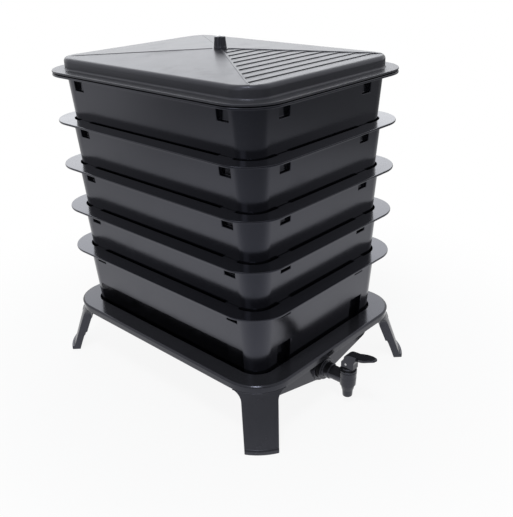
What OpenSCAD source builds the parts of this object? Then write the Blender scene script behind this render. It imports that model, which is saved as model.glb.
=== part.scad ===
// A stacking wormery: five nesting trays under a roof-shaped lid, on a collector base with
// four splayed legs and a lever tap. Millimetres, +Z up, floor at z = 0, the tap faces -Y.

/* [Footprint] */
// Width over the feet, across the tap face
foot_w = 317.5; // [305:0.5:335]
// Length over the feet
foot_l = 400; // [390:0.5:415]
// How far the feet stand out past the base's rim, on each side
foot_out = 15.75; // [12:0.25:20]

/* [Trays] */
// How far the base's rim stands out past a tray's rim on the long sides
base_out_w = 2; // [1:0.25:6]
// How far it stands out on the short sides
base_out_l = 3.25; // [1:0.25:6]
// Outside corner radius of a tray's rim
tray_corner_r = 46; // [38:0.5:50]
// Full depth of a tray, from its rim to its underside
tray_h = 95; // [88:0.5:104]
// Height that each further tray adds to the stack
stack_pitch = 57.5; // [52:0.5:64]
// How far the rim stands out from the wall
rim_overhang = 17.5; // [15:0.5:20]
// Thickness of the rim
rim_t = 2.8; // [2:0.1:4]
// Thickness of the walls and floor of a tray
wall_t = 2.2; // [1.6:0.1:3]
// Draft of the walls, in degrees a side
wall_draft = 4.5; // [3.8:0.1:5.5]
// Side of a square hole in a tray's floor
floor_hole = 8.5; // [5:0.5:11]
// Spacing of the holes in a tray's floor
floor_hole_pitch = 17; // [15:0.5:24]

/* [Stacking lugs] */
// Distance from each lug on the short faces to where the wall's corner begins
lug_from_corner_w = 23; // [14:0.5:40]
// Distance from each lug on the long faces to where the wall's corner begins
lug_from_corner_l = 12; // [12:0.5:40]
// Width of the pocket that forms a lug, seen from outside
pocket_w = 16.5; // [12:0.5:20]
// Height of that pocket below the rim
pocket_h = 18; // [12:0.5:20]
// Depth of that pocket into the tray
pocket_d = 10; // [8:0.5:12]
// Gap between a lug and the groove of the tray above
groove_gap = 1.2; // [0.8:0.1:2]

/* [Collector base] */
// Height of the base's rim above the floor
base_rim_z = 77.5; // [72:0.5:90]
// Outside corner radius of the base's rim
base_corner_r = 49; // [44:0.5:53]
// Thickness of the base's rim and skirt
base_t = 3; // [2.4:0.1:4]
// Height of the skirt that hangs from the rim's edge
skirt_h = 10; // [8:0.5:12]
// How far the lowest tray drops into the base
seat_drop = 10.5; // [8:0.5:12]
// Gap between the lowest tray and the wall that holds it
seat_gap = 2.6; // [1.5:0.1:4]
// Width of the ledge that the lowest tray rests on
ledge_w = 8.5; // [6:0.5:12]

/* [Legs] */
// Width of a leg at its foot
leg_w_foot = 40; // [34:0.5:44]
// Width of a leg under its shoulders
leg_w_top = 43; // [38:0.5:48]
// Thickness of a leg's outer plate and of its ribs
leg_t = 3; // [2.4:0.1:4]
// Depth of the channel behind a leg's outer plate
leg_channel_d = 6; // [4:0.5:8]
// Radius of the hollow corner that joins a leg to the skirt
leg_fillet_r = 12; // [8:0.5:14]
// Height of the lip round the sole
sole_h = 5; // [3:0.5:7]
// How far that lip stands out from the leg
sole_out = 1.5; // [0.5:0.1:3]

/* [Lid] */
// How far the lid's raised box stands in from the brim, on each side
lid_box_in = 16; // [14:0.5:22]
// Corner radius of the lid's raised box
lid_box_r = 30; // [20:0.5:36]
// Height of the raised box above the lid's brim
lid_box_h = 16.5; // [12:0.5:22]
// Rise of the roof from the box's edge to the top
roof_rise = 8; // [5:0.5:14]
// Radius of the rounded edge round the roof
lid_edge_r = 5; // [3:0.5:7]
// Thickness of the lid
lid_t = 2.5; // [2:0.1:3.5]
// Gap left showing between the lid's brim and the top tray
lid_gap = 1; // [0.5:0.1:2]
// Number of roof boards on the tap side
board_n = 10; // [6:1:14]
// Height of the step at the foot of each board
board_step = 0.9; // [0.4:0.1:1.3]

/* [Knob] */
// Diameter of the knob at its foot
knob_d_foot = 16; // [14:0.5:20]
// Diameter of the knob at its top
knob_d_top = 13.5; // [11:0.5:16]
// Height of the knob without its screw
knob_h = 13.5; // [10:0.5:20]
// Number of flutes round the knob
knob_flutes = 8; // [6:1:12]

/* [Tap] */
// Height of the tap's shank above the floor
tap_z = 34; // [32:0.5:38]
// Distance from the boss's face to the middle of the valve
tap_reach = 39; // [35:0.5:46]
// Diameter of the tap's threaded shank
shank_d = 16; // [14:0.5:18]
// Diameter of the tap's flange
tap_flange_d = 29; // [26:0.5:31]
// Diameter of the valve's barrel
barrel_d = 21.6; // [20:0.2:24]
// Outside diameter of the spout
spout_d = 11.4; // [10:0.2:13]
// Height of the spout's mouth above the floor
spout_z = 9.5; // [6:0.5:14]
// Length of the lever from its pin to its tip
lever_l = 40; // [34:0.5:46]
// Diameter of the lever's pin
lever_pin_d = 3; // [2.4:0.1:3.6]

/* [Hidden] */

black = [0.07, 0.07, 0.075];
rubber_black = [0.03, 0.03, 0.03];
silicone_grey = [0.72, 0.72, 0.70];
steel = [0.62, 0.62, 0.63];

eps = 0.01;
loft_t = 0.05;           // thickness of the thin slices that a lofted shape is drawn over
cut = 1;                 // how far a cutting shape runs past the surface it opens
round_fn = 96;
loft_fn = 32;
snug = 0.05;             // radial clearance of pieces that are pushed or screwed together

// Outlines that follow from the size over the feet
base_w = foot_w - 2 * foot_out;
base_l = foot_l - 2 * foot_out;
tray_w = base_w - 2 * base_out_w;
tray_l = base_l - 2 * base_out_l;
lid_box_w = tray_w - 2 * lid_box_in;
lid_box_l = tray_l - 2 * lid_box_in;

// Tray outline at a depth below the rim, offset inwards by the draft and by a skin
wall_w = tray_w - 2 * rim_overhang;
wall_l = tray_l - 2 * rim_overhang;
wall_r = tray_corner_r - rim_overhang;
function draft_at(depth) = depth * tan(wall_draft);

lug_x = wall_w / 2 - wall_r - lug_from_corner_w;
lug_y = wall_l / 2 - wall_r - lug_from_corner_l;
lug_w = pocket_w + 2 * wall_t;
lug_in = pocket_d + wall_t;
lug_h = rim_t + pocket_h + wall_t;
groove_w = lug_w + 2 * groove_gap;
groove_in = lug_in + groove_gap;
bump_w = groove_w + 2 * wall_t;
bump_in = groove_in + wall_t;
tray_chamfer = 1.5;

// Heights of the stack
tray_seat_z = base_rim_z - seat_drop;
function tray_z(k) = tray_seat_z + tray_h + (k - 1) * stack_pitch;
lid_z = tray_z(5) + lid_gap;
roof_edge_z = lid_z + lid_box_h;
roof_top_z = roof_edge_z + roof_rise;

// Lid
lid_rib_h = 6;
lid_rib_t = 2.5;
lid_rib_gap = 1;         // from the lid's rib to the wall of the top tray
lid_seat_in = 5;         // how far the seat under the brim stays back from its edge
board_margin = 1.5;      // plain strip beside the boards

// Knob
flute_r = 1.6;
flute_out = 0.6;         // from the knob's foot circle out to a flute's middle
flute_foot_h = 2.5;      // plain foot below the flutes
knob_boss_r = 6;
knob_boss_h = 12;
knob_screw_d = 4;
knob_screw_in = 9;       // how deep the screw goes into the lid
knob_screw_head_d = 7;
knob_screw_proud = 0.8;

// Base
seat_depth = tray_h - seat_drop;
seat_w = wall_w - 2 * draft_at(seat_depth) + 2 * seat_gap;
seat_l = wall_l - 2 * draft_at(seat_depth) + 2 * seat_gap;
seat_r = wall_r - draft_at(seat_depth) + seat_gap;
basin_w = seat_w - 2 * ledge_w;
basin_l = seat_l - 2 * ledge_w;
basin_r = seat_r - ledge_w / 2;

// Tap
gasket_t = 2;
gasket_inset = 0.5;      // from the flange's edge in to the outer gasket's edge
inner_gasket_t = 1.5;
nut_t = 6;
shank_past_nut = 3.5;
tap_flange_t = 4;
neck_d = 17.7;           // between the flange and the barrel
boss_r = 18;
boss_wall = 3.5;
boss_out = 2.5;          // from the end of the seat out to the boss's face
nut_room_r = 14.5;
nut_room_play = 1;
shank_play = 0.25;
boss_y = -(seat_l / 2 + boss_out);
nut_face_y = boss_y + boss_wall;
valve_y = boss_y - tap_reach;
shank_end_y = nut_face_y + inner_gasket_t + nut_t + shank_past_nut;
water_bore_d = 8.5;
spout_bore_d = 8;
spout_flare = 0.5;       // what the spout widens by up to its root
spout_root_z = tap_z - 15;
barrel_wall = 2.3;
barrel_taper = 0.8;      // what the barrel narrows by down to its shoulder
barrel_shoulder_z = tap_z - 7;
chamber_r = barrel_d / 2 - barrel_wall;
chamber_z = tap_z - 6;
barrel_top_z = tap_z + 12;
bonnet_h = 6;
bonnet_collar_d = 16.8;
bonnet_plug_h = 2;       // reach of the bonnet into the chamber
bonnet_top_z = barrel_top_z + bonnet_h;
seat_h = 7;
seat_rim_r = 6.6;
seat_foot_r = 5.4;
seat_neck_r = 4.2;
seat_foot_h = 1.5;
seat_rim_h = 3.5;
stem_d = 5;
stem_lift = 3;           // from the seat's foot up to the stem's end inside it
stem_play = 0.05;
pin_play = 0.05;
pin_proud = 0.3;
lever_foot = 5.7;        // from the pin down to the lever's flat foot
lever_rest_gap = 0.3;    // air between that foot and the bonnet
pin_z = bonnet_top_z + lever_foot + lever_rest_gap;
toe_out = 10.4;          // from the pin forward to the toe that the lever rocks on
heel_out = 7.5;          // from the pin back to the lever's heel
lever_crest_h = 15;      // top of the lever over its pin
lever_tip_h = 20;        // top of the paddle's raised tip over the pin
slot_ahead = 7.2;        // slot for the stem, ahead of the pin and behind it
slot_behind = 3.5;
paddle_w = 16;
eye_r = 4.2;
eye_w = 5;
eye_play = 0.8;
fork_gap = 0.3;
fork_w = 12;

// Sump, the lowest part of the basin, just behind the tap
sump_r = 12;
sump_y = nut_face_y + 20;
sump_z = tap_z - 13;
sump_t = 3.5;

// Legs, on a cone about each corner's centre
corner_x = base_w / 2 - base_corner_r;
corner_y = base_l / 2 - base_corner_r;
leg_top_z = base_rim_z - skirt_h;
sole_half = leg_w_foot / 2;
sole_r = sqrt(pow(sqrt(2) * (foot_w / 2 - corner_x) - sole_half, 2) + pow(sole_half, 2));
leg_foot_r = sole_r - sole_out;
leg_splay = leg_foot_r - base_corner_r;
tongue_w = 30;
tongue_gap = 0.2;
rib_deeper = 2.5;
rib_end_z = 28;
function leg_r(z) = leg_foot_r - leg_splay * z / leg_top_z;

module rounded_rect(w, l, r, fn = round_fn) {
    union() {
        square([w - 2 * r, l], center = true);
        square([w, l - 2 * r], center = true);
        for (x = [-1, 1], y = [-1, 1])
            translate([x * (w / 2 - r), y * (l / 2 - r)]) circle(r, $fn = fn);
    }
}

module plate(w, l, r, t, fn = round_fn) {
    linear_extrude(t) rounded_rect(w, l, r, fn);
}

// A ring of the outline w by l, band wide, t high
module rounded_ring(w, l, r, band, t) {
    difference() {
        plate(w, l, r, t);
        translate([0, 0, -cut]) plate(w - 2 * band, l - 2 * band, r - band, t + 2 * cut);
    }
}

// Tray wall as a solid block, drawn in by a skin and cut off at two depths below the rim
module tray_block(skin, top, bottom, chamfer) {
    hull() {
        for (d = [top, bottom - chamfer])
            translate([0, 0, -d])
                plate(wall_w - 2 * (skin + draft_at(d)), wall_l - 2 * (skin + draft_at(d)),
                      wall_r - skin - draft_at(d), loft_t, loft_fn);
        translate([0, 0, -bottom])
            plate(wall_w - 2 * (skin + draft_at(bottom) + chamfer),
                  wall_l - 2 * (skin + draft_at(bottom) + chamfer),
                  wall_r - skin - draft_at(bottom) - chamfer, loft_t, loft_fn);
    }
}

// Puts its children at each lug, with +Y pointing into the tray from the top of the wall
module at_lugs() {
    for (turn = [0, 180], side = [-1, 1]) {
        rotate(turn) translate([side * lug_x, -wall_l / 2, 0]) children();
        rotate(turn + 90) translate([side * lug_y, -wall_w / 2, 0]) children();
    }
}

module floor_holes() {
    room = bump_in + floor_hole;
    nx = floor((wall_w / 2 - room) / floor_hole_pitch);
    ny = floor((wall_l / 2 - room) / floor_hole_pitch);
    for (i = [-nx:nx], j = [-ny:ny])
        translate([i * floor_hole_pitch, j * floor_hole_pitch, -tray_h])
            cube([floor_hole, floor_hole, 4 * wall_t], center = true);
}

module tray(z) {
    translate([0, 0, z]) difference() {
        union() {
            translate([0, 0, -rim_t]) plate(tray_w, tray_l, tray_corner_r, rim_t);
            difference() {
                tray_block(0, rim_t / 2, tray_h, tray_chamfer);
                tray_block(wall_t, -cut, tray_h - wall_t, tray_chamfer);
            }
            intersection() {
                tray_block(0, rim_t / 2, tray_h, tray_chamfer);
                union() {
                    at_lugs() translate([-lug_w / 2, 0, -lug_h]) cube([lug_w, lug_in, lug_h]);
                    at_lugs() translate([-bump_w / 2, 0, -tray_h])
                        cube([bump_w, bump_in, tray_h - stack_pitch + wall_t]);
                }
            }
        }
        difference() {
            tray_block(wall_t, -cut, rim_t + eps, 0);
            at_lugs() translate([-lug_w / 2, -cut, -lug_h]) cube([lug_w, lug_in + cut, lug_h]);
        }
        at_lugs() translate([-pocket_w / 2, -cut, -rim_t - pocket_h])
            cube([pocket_w, pocket_d + cut, pocket_h]);
        at_lugs() translate([-groove_w / 2, -cut, -tray_h - cut])
            cube([groove_w, groove_in + cut, tray_h - stack_pitch + cut]);
        floor_holes();
    }
}

module tray_1() { color(black) tray(tray_z(1)); }
module tray_2() { color(black) tray(tray_z(2)); }
module tray_3() { color(black) tray(tray_z(3)); }
module tray_4() { color(black) tray(tray_z(4)); }
module tray_5() { color(black) tray(tray_z(5)); }

// Basin: from a rounded outline at the seat down to a round sump behind the tap
module basin_block(skin, top_z, bottom_z) {
    hull() {
        translate([0, 0, top_z])
            plate(basin_w + 2 * skin, basin_l + 2 * skin, basin_r + skin, loft_t, loft_fn);
        translate([0, sump_y, bottom_z]) cylinder(h = loft_t, r = sump_r + skin, $fn = loft_fn);
    }
}

module along_y(x, y, z) {
    translate([x, y, z]) rotate([-90, 0, 0]) children();
}

module collector_base() {
    color(black) difference() {
        union() {
            translate([0, 0, base_rim_z - base_t]) plate(base_w, base_l, base_corner_r, base_t);
            translate([0, 0, leg_top_z]) rounded_ring(base_w, base_l, base_corner_r, base_t, skirt_h);
            translate([0, 0, tray_seat_z - base_t])
                plate(seat_w + 2 * base_t, seat_l + 2 * base_t, seat_r + base_t, seat_drop + base_t);
            basin_block(base_t, tray_seat_z - base_t, sump_z - sump_t);
            along_y(0, boss_y, tap_z) cylinder(h = sump_y - boss_y, r = boss_r, $fn = round_fn);
            leg_sockets();
        }
        translate([0, 0, tray_seat_z]) plate(seat_w, seat_l, seat_r, seat_drop + cut);
        basin_block(0, tray_seat_z + eps, sump_z);
        along_y(0, nut_face_y, tap_z) cylinder(h = sump_y - nut_face_y, r = nut_room_r, $fn = round_fn);
        along_y(0, boss_y - cut, tap_z)
            cylinder(h = boss_wall + 2 * cut, d = shank_d + 2 * shank_play, $fn = round_fn);
    }
}

// Puts its children at a corner's centre, with +X pointing out along the corner's diagonal
module at_corner(sx, sy) {
    translate([sx * corner_x, sy * corner_y, 0]) rotate(atan2(sy, sx)) children();
}

// Two ribs beside each leg's tongue, under the rim
module leg_sockets() {
    for (sx = [-1, 1], sy = [-1, 1])
        at_corner(sx, sy)
            for (side = [-1, 1])
                translate([base_corner_r - base_t - leg_channel_d,
                           side * (tongue_w / 2 + tongue_gap + base_t / 2) - base_t / 2,
                           leg_top_z])
                    cube([leg_channel_d, base_t, skirt_h - base_t]);
}

// Part of the leg's cone between two depths behind its outer face
module leg_shell(from_d, to_d, z0, z1) {
    rotate_extrude($fn = round_fn)
        polygon([[leg_r(z0) - to_d, z0], [leg_r(z0) - from_d, z0],
                 [leg_r(z1) - from_d, z1], [leg_r(z1) - to_d, z1]]);
}

// Everything within a leg's outline seen square on, drawn in by a skin
module leg_outline(skin) {
    shoulder = leg_w_top / 2 + leg_fillet_r;
    rotate([90, 0, 90]) linear_extrude(sole_r + cut) difference() {
        polygon([[-sole_half + skin, 0], [sole_half - skin, 0],
                 [leg_w_top / 2 - skin, leg_top_z - leg_fillet_r],
                 [shoulder - skin, leg_top_z - leg_fillet_r],
                 [shoulder - skin, leg_top_z], [-shoulder + skin, leg_top_z],
                 [-shoulder + skin, leg_top_z - leg_fillet_r],
                 [-leg_w_top / 2 + skin, leg_top_z - leg_fillet_r]]);
        for (side = [-1, 1])
            translate([side * shoulder, leg_top_z - leg_fillet_r])
                circle(leg_fillet_r + skin, $fn = round_fn);
    }
}

module leg(sx, sy) {
    channel = leg_t + leg_channel_d;
    color(black) at_corner(sx, sy) {
        difference() {
            intersection() {
                union() {
                    leg_shell(0, channel, 0, leg_top_z);
                    leg_shell(channel - eps, channel + rib_deeper, rib_end_z, leg_top_z);
                    cylinder(h = sole_h, r = sole_r, $fn = round_fn);
                }
                leg_outline(0);
                translate([leg_r(leg_top_z) - channel - rib_deeper, -base_w, 0])
                    cube([2 * base_w, 2 * base_w, leg_top_z]);
            }
            intersection() {
                leg_shell(leg_t, 2 * channel, sole_h, leg_top_z - leg_t);
                leg_outline(leg_t);
            }
            cylinder(h = 2 * sole_h, r = leg_foot_r - channel, center = true, $fn = round_fn);
        }
        intersection() {
            translate([0, 0, leg_top_z - eps])
                rotate_extrude($fn = round_fn)
                    translate([base_corner_r - base_t - tongue_gap - leg_t, 0])
                        square([leg_t, skirt_h - base_t + eps]);
            translate([0, -tongue_w / 2, 0]) cube([base_w, tongue_w, base_rim_z]);
        }
    }
}

module leg_front_left() { leg(-1, -1); }
module leg_front_right() { leg(1, -1); }
module leg_back_left() { leg(-1, 1); }
module leg_back_right() { leg(1, 1); }

// Lid: one closed block, drawn in by a skin; the cavity is the same block further in
module lid_block(skin, bottom_z) {
    w = lid_box_w - 2 * skin;
    l = lid_box_l - 2 * skin;
    r = lid_box_r - skin;
    edge = lid_edge_r;
    hull() {
        translate([0, 0, bottom_z]) plate(w, l, r, loft_t, loft_fn);
        for (a = [0, 30, 60, 90])
            translate([0, 0, roof_edge_z - skin - edge * (1 - sin(a))])
                plate(w - 2 * edge * (1 - cos(a)), l - 2 * edge * (1 - cos(a)),
                      r - edge * (1 - cos(a)), loft_t, loft_fn);
        translate([0, 0, roof_top_z - skin - loft_t])
            cylinder(h = loft_t, d = knob_d_foot, $fn = loft_fn);
    }
}

// Wedges cut from the tap-side facet, so that it steps down like lapped boards
module board_cuts() {
    front = lid_box_l / 2 - lid_edge_r;
    top = knob_d_foot / 2;
    slope = roof_rise / (front - top);
    pitch = (front - top) / board_n;
    half = lid_box_w / 2 - lid_edge_r - 2 * board_margin;
    intersection() {
        for (i = [0:board_n - 1])
            translate([-lid_box_w / 2, -front + i * pitch, roof_edge_z + i * pitch * slope])
                rotate([90, 0, 90]) linear_extrude(lid_box_w)
                    polygon([[0, 0], [pitch, pitch * slope - board_step],
                             [pitch, pitch * slope + cut], [0, cut]]);
        translate([0, 0, roof_edge_z - 2 * board_step]) linear_extrude(roof_rise + 4 * board_step)
            polygon([[0, -3 * board_margin], [-half, -front + board_margin],
                     [half, -front + board_margin]]);
    }
}

module lid() {
    rib_w = wall_w - 2 * (wall_t + draft_at(lid_rib_h) + lid_rib_gap);
    rib_l = wall_l - 2 * (wall_t + draft_at(lid_rib_h) + lid_rib_gap);
    rib_r = wall_r - wall_t - lid_rib_gap;
    color(black) difference() {
        union() {
            translate([0, 0, lid_z]) plate(tray_w, tray_l, tray_corner_r, lid_t);
            translate([0, 0, lid_z - lid_gap])
                plate(tray_w - 2 * lid_seat_in, tray_l - 2 * lid_seat_in,
                      tray_corner_r - lid_seat_in, lid_gap + eps);
            difference() {
                translate([0, 0, lid_z - lid_gap - lid_rib_h])
                    plate(rib_w, rib_l, rib_r, lid_rib_h + lid_gap + eps);
                translate([0, 0, lid_z - lid_gap]) at_lugs()
                    translate([-groove_w / 2, -cut, -lid_rib_h - cut])
                        cube([groove_w, groove_in + cut, lid_rib_h + cut]);
            }
            difference() {
                lid_block(0, lid_z);
                board_cuts();
            }
        }
        translate([0, 0, lid_z - lid_gap - lid_rib_h - cut])
            plate(rib_w - 2 * lid_rib_t, rib_l - 2 * lid_rib_t, rib_r - lid_rib_t,
                  lid_rib_h + lid_gap + lid_t + 2 * cut);
        difference() {
            lid_block(lid_t, lid_z + lid_t);
            translate([0, 0, roof_top_z - knob_boss_h])
                cylinder(h = knob_boss_h, r = knob_boss_r, $fn = round_fn);
        }
        translate([0, 0, roof_top_z - knob_screw_in])
            cylinder(h = knob_screw_in + cut, d = knob_screw_d + 2 * snug, $fn = round_fn);
    }
}

module lid_knob() {
    color(black) translate([0, 0, roof_top_z]) difference() {
        cylinder(h = knob_h, d1 = knob_d_foot, d2 = knob_d_top, $fn = round_fn);
        for (i = [0:knob_flutes - 1])
            rotate(i * 360 / knob_flutes)
                translate([knob_d_foot / 2 + flute_out, 0, flute_foot_h])
                    rotate([0, -atan2((knob_d_foot - knob_d_top) / 2, knob_h), 0])
                        cylinder(h = 2 * knob_h, r = flute_r, $fn = round_fn);
        translate([0, 0, -cut])
            cylinder(h = knob_h + 2 * cut, d = knob_screw_d + 2 * snug, $fn = round_fn);
    }
}

module lid_knob_screw() {
    color(steel) translate([0, 0, roof_top_z]) union() {
        translate([0, 0, knob_h])
            cylinder(h = knob_screw_proud, d = knob_screw_head_d, $fn = round_fn);
        translate([0, 0, -knob_screw_in])
            cylinder(h = knob_h + knob_screw_in + eps, d = knob_screw_d, $fn = round_fn);
    }
}

module tap_body() {
    flange_y = boss_y - gasket_t - tap_flange_t;
    color(black) difference() {
        union() {
            along_y(0, flange_y + tap_flange_t - eps, tap_z)
                cylinder(h = shank_end_y - flange_y - tap_flange_t + eps, d = shank_d, $fn = round_fn);
            along_y(0, flange_y, tap_z) cylinder(h = tap_flange_t, d = tap_flange_d, $fn = round_fn);
            along_y(0, valve_y, tap_z)
                cylinder(h = flange_y - valve_y + eps, d = neck_d, $fn = round_fn);
            translate([0, valve_y, 0]) rotate_extrude($fn = round_fn)
                polygon([[0, spout_z], [spout_d / 2, spout_z],
                         [spout_d / 2 + spout_flare, spout_root_z],
                         [barrel_d / 2 - barrel_taper, barrel_shoulder_z],
                         [barrel_d / 2, barrel_top_z], [0, barrel_top_z]]);
        }
        translate([0, valve_y, chamber_z])
            cylinder(h = barrel_top_z - chamber_z + cut, r = chamber_r, $fn = round_fn);
        translate([0, valve_y, spout_z - cut])
            cylinder(h = chamber_z - spout_z + 2 * cut, d = spout_bore_d, $fn = round_fn);
        along_y(0, valve_y, tap_z)
            cylinder(h = shank_end_y - valve_y + cut, d = water_bore_d, $fn = round_fn);
    }
}

module ring_along_y(y, t, d_out, d_in) {
    along_y(0, y, tap_z) difference() {
        cylinder(h = t, d = d_out, $fn = round_fn);
        translate([0, 0, -cut]) cylinder(h = t + 2 * cut, d = d_in, $fn = round_fn);
    }
}

module tap_outer_gasket() {
    color(rubber_black)
        ring_along_y(boss_y - gasket_t, gasket_t, tap_flange_d - 2 * gasket_inset, shank_d + 2 * snug);
}

module tap_inner_gasket() {
    color(rubber_black)
        ring_along_y(nut_face_y, inner_gasket_t, 2 * (nut_room_r - nut_room_play), shank_d + 2 * snug);
}

module tap_nut() {
    color(black) along_y(0, nut_face_y + inner_gasket_t, tap_z) difference() {
        cylinder(h = nut_t, r = nut_room_r - nut_room_play, $fn = 6);
        translate([0, 0, -cut])
            cylinder(h = nut_t + 2 * cut, d = shank_d + 2 * snug, $fn = round_fn);
    }
}

module tap_bonnet() {
    color(black) translate([0, valve_y, barrel_top_z]) difference() {
        union() {
            cylinder(h = bonnet_h / 2, d = barrel_d, $fn = round_fn);
            cylinder(h = bonnet_h, d = bonnet_collar_d, $fn = round_fn);
            translate([0, 0, -bonnet_plug_h])
                cylinder(h = bonnet_plug_h + eps, r = chamber_r - snug, $fn = round_fn);
        }
        translate([0, 0, -bonnet_plug_h - cut])
            cylinder(h = bonnet_plug_h + bonnet_h + 2 * cut, d = stem_d + 2 * stem_play,
                     $fn = round_fn);
    }
}

module tap_stem() {
    stem_foot_z = chamber_z + stem_lift;
    color(black) translate([0, valve_y, 0]) difference() {
        union() {
            translate([0, 0, stem_foot_z])
                cylinder(h = pin_z - eye_r / 2 - stem_foot_z, d = stem_d, $fn = round_fn);
            translate([0, 0, pin_z]) rotate([0, 90, 0])
                cylinder(h = eye_w, r = eye_r, center = true, $fn = round_fn);
        }
        translate([0, 0, pin_z]) rotate([0, 90, 0])
            cylinder(h = 2 * eye_w, d = lever_pin_d + 2 * pin_play, center = true, $fn = round_fn);
    }
}

module tap_seat() {
    color(silicone_grey) translate([0, valve_y, chamber_z]) difference() {
        rotate_extrude($fn = round_fn)
            polygon([[0, 0], [seat_foot_r, 0], [seat_rim_r, seat_foot_h], [seat_rim_r, seat_rim_h],
                     [seat_neck_r, seat_h], [0, seat_h]]);
        translate([0, 0, stem_lift]) cylinder(h = seat_h, d = stem_d + 2 * snug, $fn = round_fn);
    }
}

// Side view of the lever about its pin: x runs back towards the stand, y runs up
module lever_side() {
    crest = lever_crest_h;
    tip = lever_tip_h;
    hollow_r = 4.2;
    difference() {
        polygon([[heel_out, -lever_foot], [heel_out, 1], [3, 10], [-1, crest - 1.5], [-6, crest],
                 [-20, crest + 1.5], [-lever_l + 4, tip], [-lever_l, tip - 0.8],
                 [-lever_l + 1, tip - 2.6], [-24, crest - 2.2], [-13, 9],
                 [-toe_out, 2], [-toe_out, -lever_foot]]);
        translate([heel_out + 1.3, 6.5]) circle(hollow_r, $fn = round_fn);
    }
}

// Column whose outline is the lever's top view about its pin: a fork that widens into a paddle
module lever_column(h) {
    paddle_r = paddle_w / 2;
    union() {
        translate([-fork_w / 2, -toe_out - cut, 0])
            cube([fork_w, toe_out + heel_out + 2 * cut, h]);
        linear_extrude(h)
            polygon([[-fork_w / 2, -toe_out], [fork_w / 2, -toe_out],
                     [paddle_r, -2 * toe_out], [paddle_r, -lever_l + paddle_r],
                     [-paddle_r, -lever_l + paddle_r], [-paddle_r, -2 * toe_out]]);
        translate([0, -lever_l + paddle_r, 0]) cylinder(h = h, r = paddle_r, $fn = round_fn);
    }
}

module tap_lever() {
    color(black) translate([0, valve_y, pin_z]) difference() {
        intersection() {
            rotate([90, 0, 90]) linear_extrude(paddle_w + 2 * cut, center = true) lever_side();
            translate([0, 0, -lever_foot - cut]) lever_column(lever_foot + lever_tip_h + 2 * cut);
        }
        rotate([0, 90, 0])
            cylinder(h = eye_w + 2 * fork_gap, r = eye_r + eye_play, center = true, $fn = round_fn);
        translate([-eye_w / 2 - fork_gap, -slot_ahead, -lever_foot - cut])
            cube([eye_w + 2 * fork_gap, slot_ahead + slot_behind, lever_foot + cut]);
        rotate([0, 90, 0]) cylinder(h = 2 * fork_w, d = lever_pin_d, center = true, $fn = round_fn);
    }
}

module tap_lever_pin() {
    color(steel) translate([0, valve_y, pin_z]) rotate([0, 90, 0])
        cylinder(h = fork_w + 2 * pin_proud, d = lever_pin_d, center = true, $fn = round_fn);
}

collector_base();
leg_front_left();
leg_front_right();
leg_back_left();
leg_back_right();
tray_1();
tray_2();
tray_3();
tray_4();
tray_5();
lid();
lid_knob();
lid_knob_screw();
tap_body();
tap_outer_gasket();
tap_inner_gasket();
tap_nut();
tap_bonnet();
tap_stem();
tap_seat();
tap_lever();
tap_lever_pin();
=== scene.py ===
"""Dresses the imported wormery: five nesting trays, a roof-shaped lid, a collector base on
four legs and a lever tap. All lengths are metres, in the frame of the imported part."""

import logging
import math
from dataclasses import dataclass, field
from enum import Enum
from typing import Iterable, Sequence, Union

import bmesh
import bpy
from mathutils import Matrix, Vector


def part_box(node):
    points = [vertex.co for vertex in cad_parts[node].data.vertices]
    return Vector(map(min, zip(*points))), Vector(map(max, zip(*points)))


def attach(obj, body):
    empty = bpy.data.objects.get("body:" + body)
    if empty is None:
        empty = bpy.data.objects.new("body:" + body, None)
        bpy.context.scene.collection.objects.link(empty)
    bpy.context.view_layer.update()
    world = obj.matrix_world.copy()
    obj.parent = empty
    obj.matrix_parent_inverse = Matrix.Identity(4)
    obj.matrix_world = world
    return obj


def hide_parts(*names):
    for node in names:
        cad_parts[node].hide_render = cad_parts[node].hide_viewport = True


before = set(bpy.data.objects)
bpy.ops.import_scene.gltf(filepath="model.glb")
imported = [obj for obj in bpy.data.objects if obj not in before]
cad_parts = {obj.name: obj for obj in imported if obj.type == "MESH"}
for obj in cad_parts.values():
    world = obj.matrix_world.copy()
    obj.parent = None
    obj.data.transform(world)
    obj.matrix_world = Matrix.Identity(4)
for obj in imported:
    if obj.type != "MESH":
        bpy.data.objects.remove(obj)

LOG = logging.getLogger("wormery")
OVERRUN = 0.001
MERGE = 1e-6
WELD = 2e-5
FLAT_WEIGHT = 80
CORNER_STEPS = 14
ROUND_STEPS = 64

Colour = tuple[float, float, float]
Span = tuple[float, float]
Ring = list[Vector]
Piece = bpy.types.Object

COOL: Colour = (0.94, 0.965, 1.0)


# Mesh work

class Join(Enum):
    """How a second solid changes the first."""

    ADD = "UNION"
    CUT = "DIFFERENCE"
    KEEP = "INTERSECT"


def linked(name: str, data: bpy.types.ID) -> Piece:
    """Makes an object of a mesh, a light or a camera.

    Args:
        name: name of the new object.
        data: what it shows.

    Returns:
        The object, in the scene.
    """
    made = bpy.data.objects.new(name, data)
    bpy.context.scene.collection.objects.link(made)
    return made


def mesh_piece(name: str, points: Sequence[Vector], faces: Sequence[Sequence[int]]) -> Piece:
    """Makes a closed mesh with its faces turned outwards.

    Args:
        name: name of the new object.
        points: its corners.
        faces: its faces, as places in the list of corners.

    Returns:
        The new object, linked to the scene.
    """
    mesh = bpy.data.meshes.new(name)
    mesh.from_pydata([tuple(point) for point in points], [], [list(face) for face in faces])
    clean_mesh(mesh)
    return linked(name, mesh)


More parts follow.
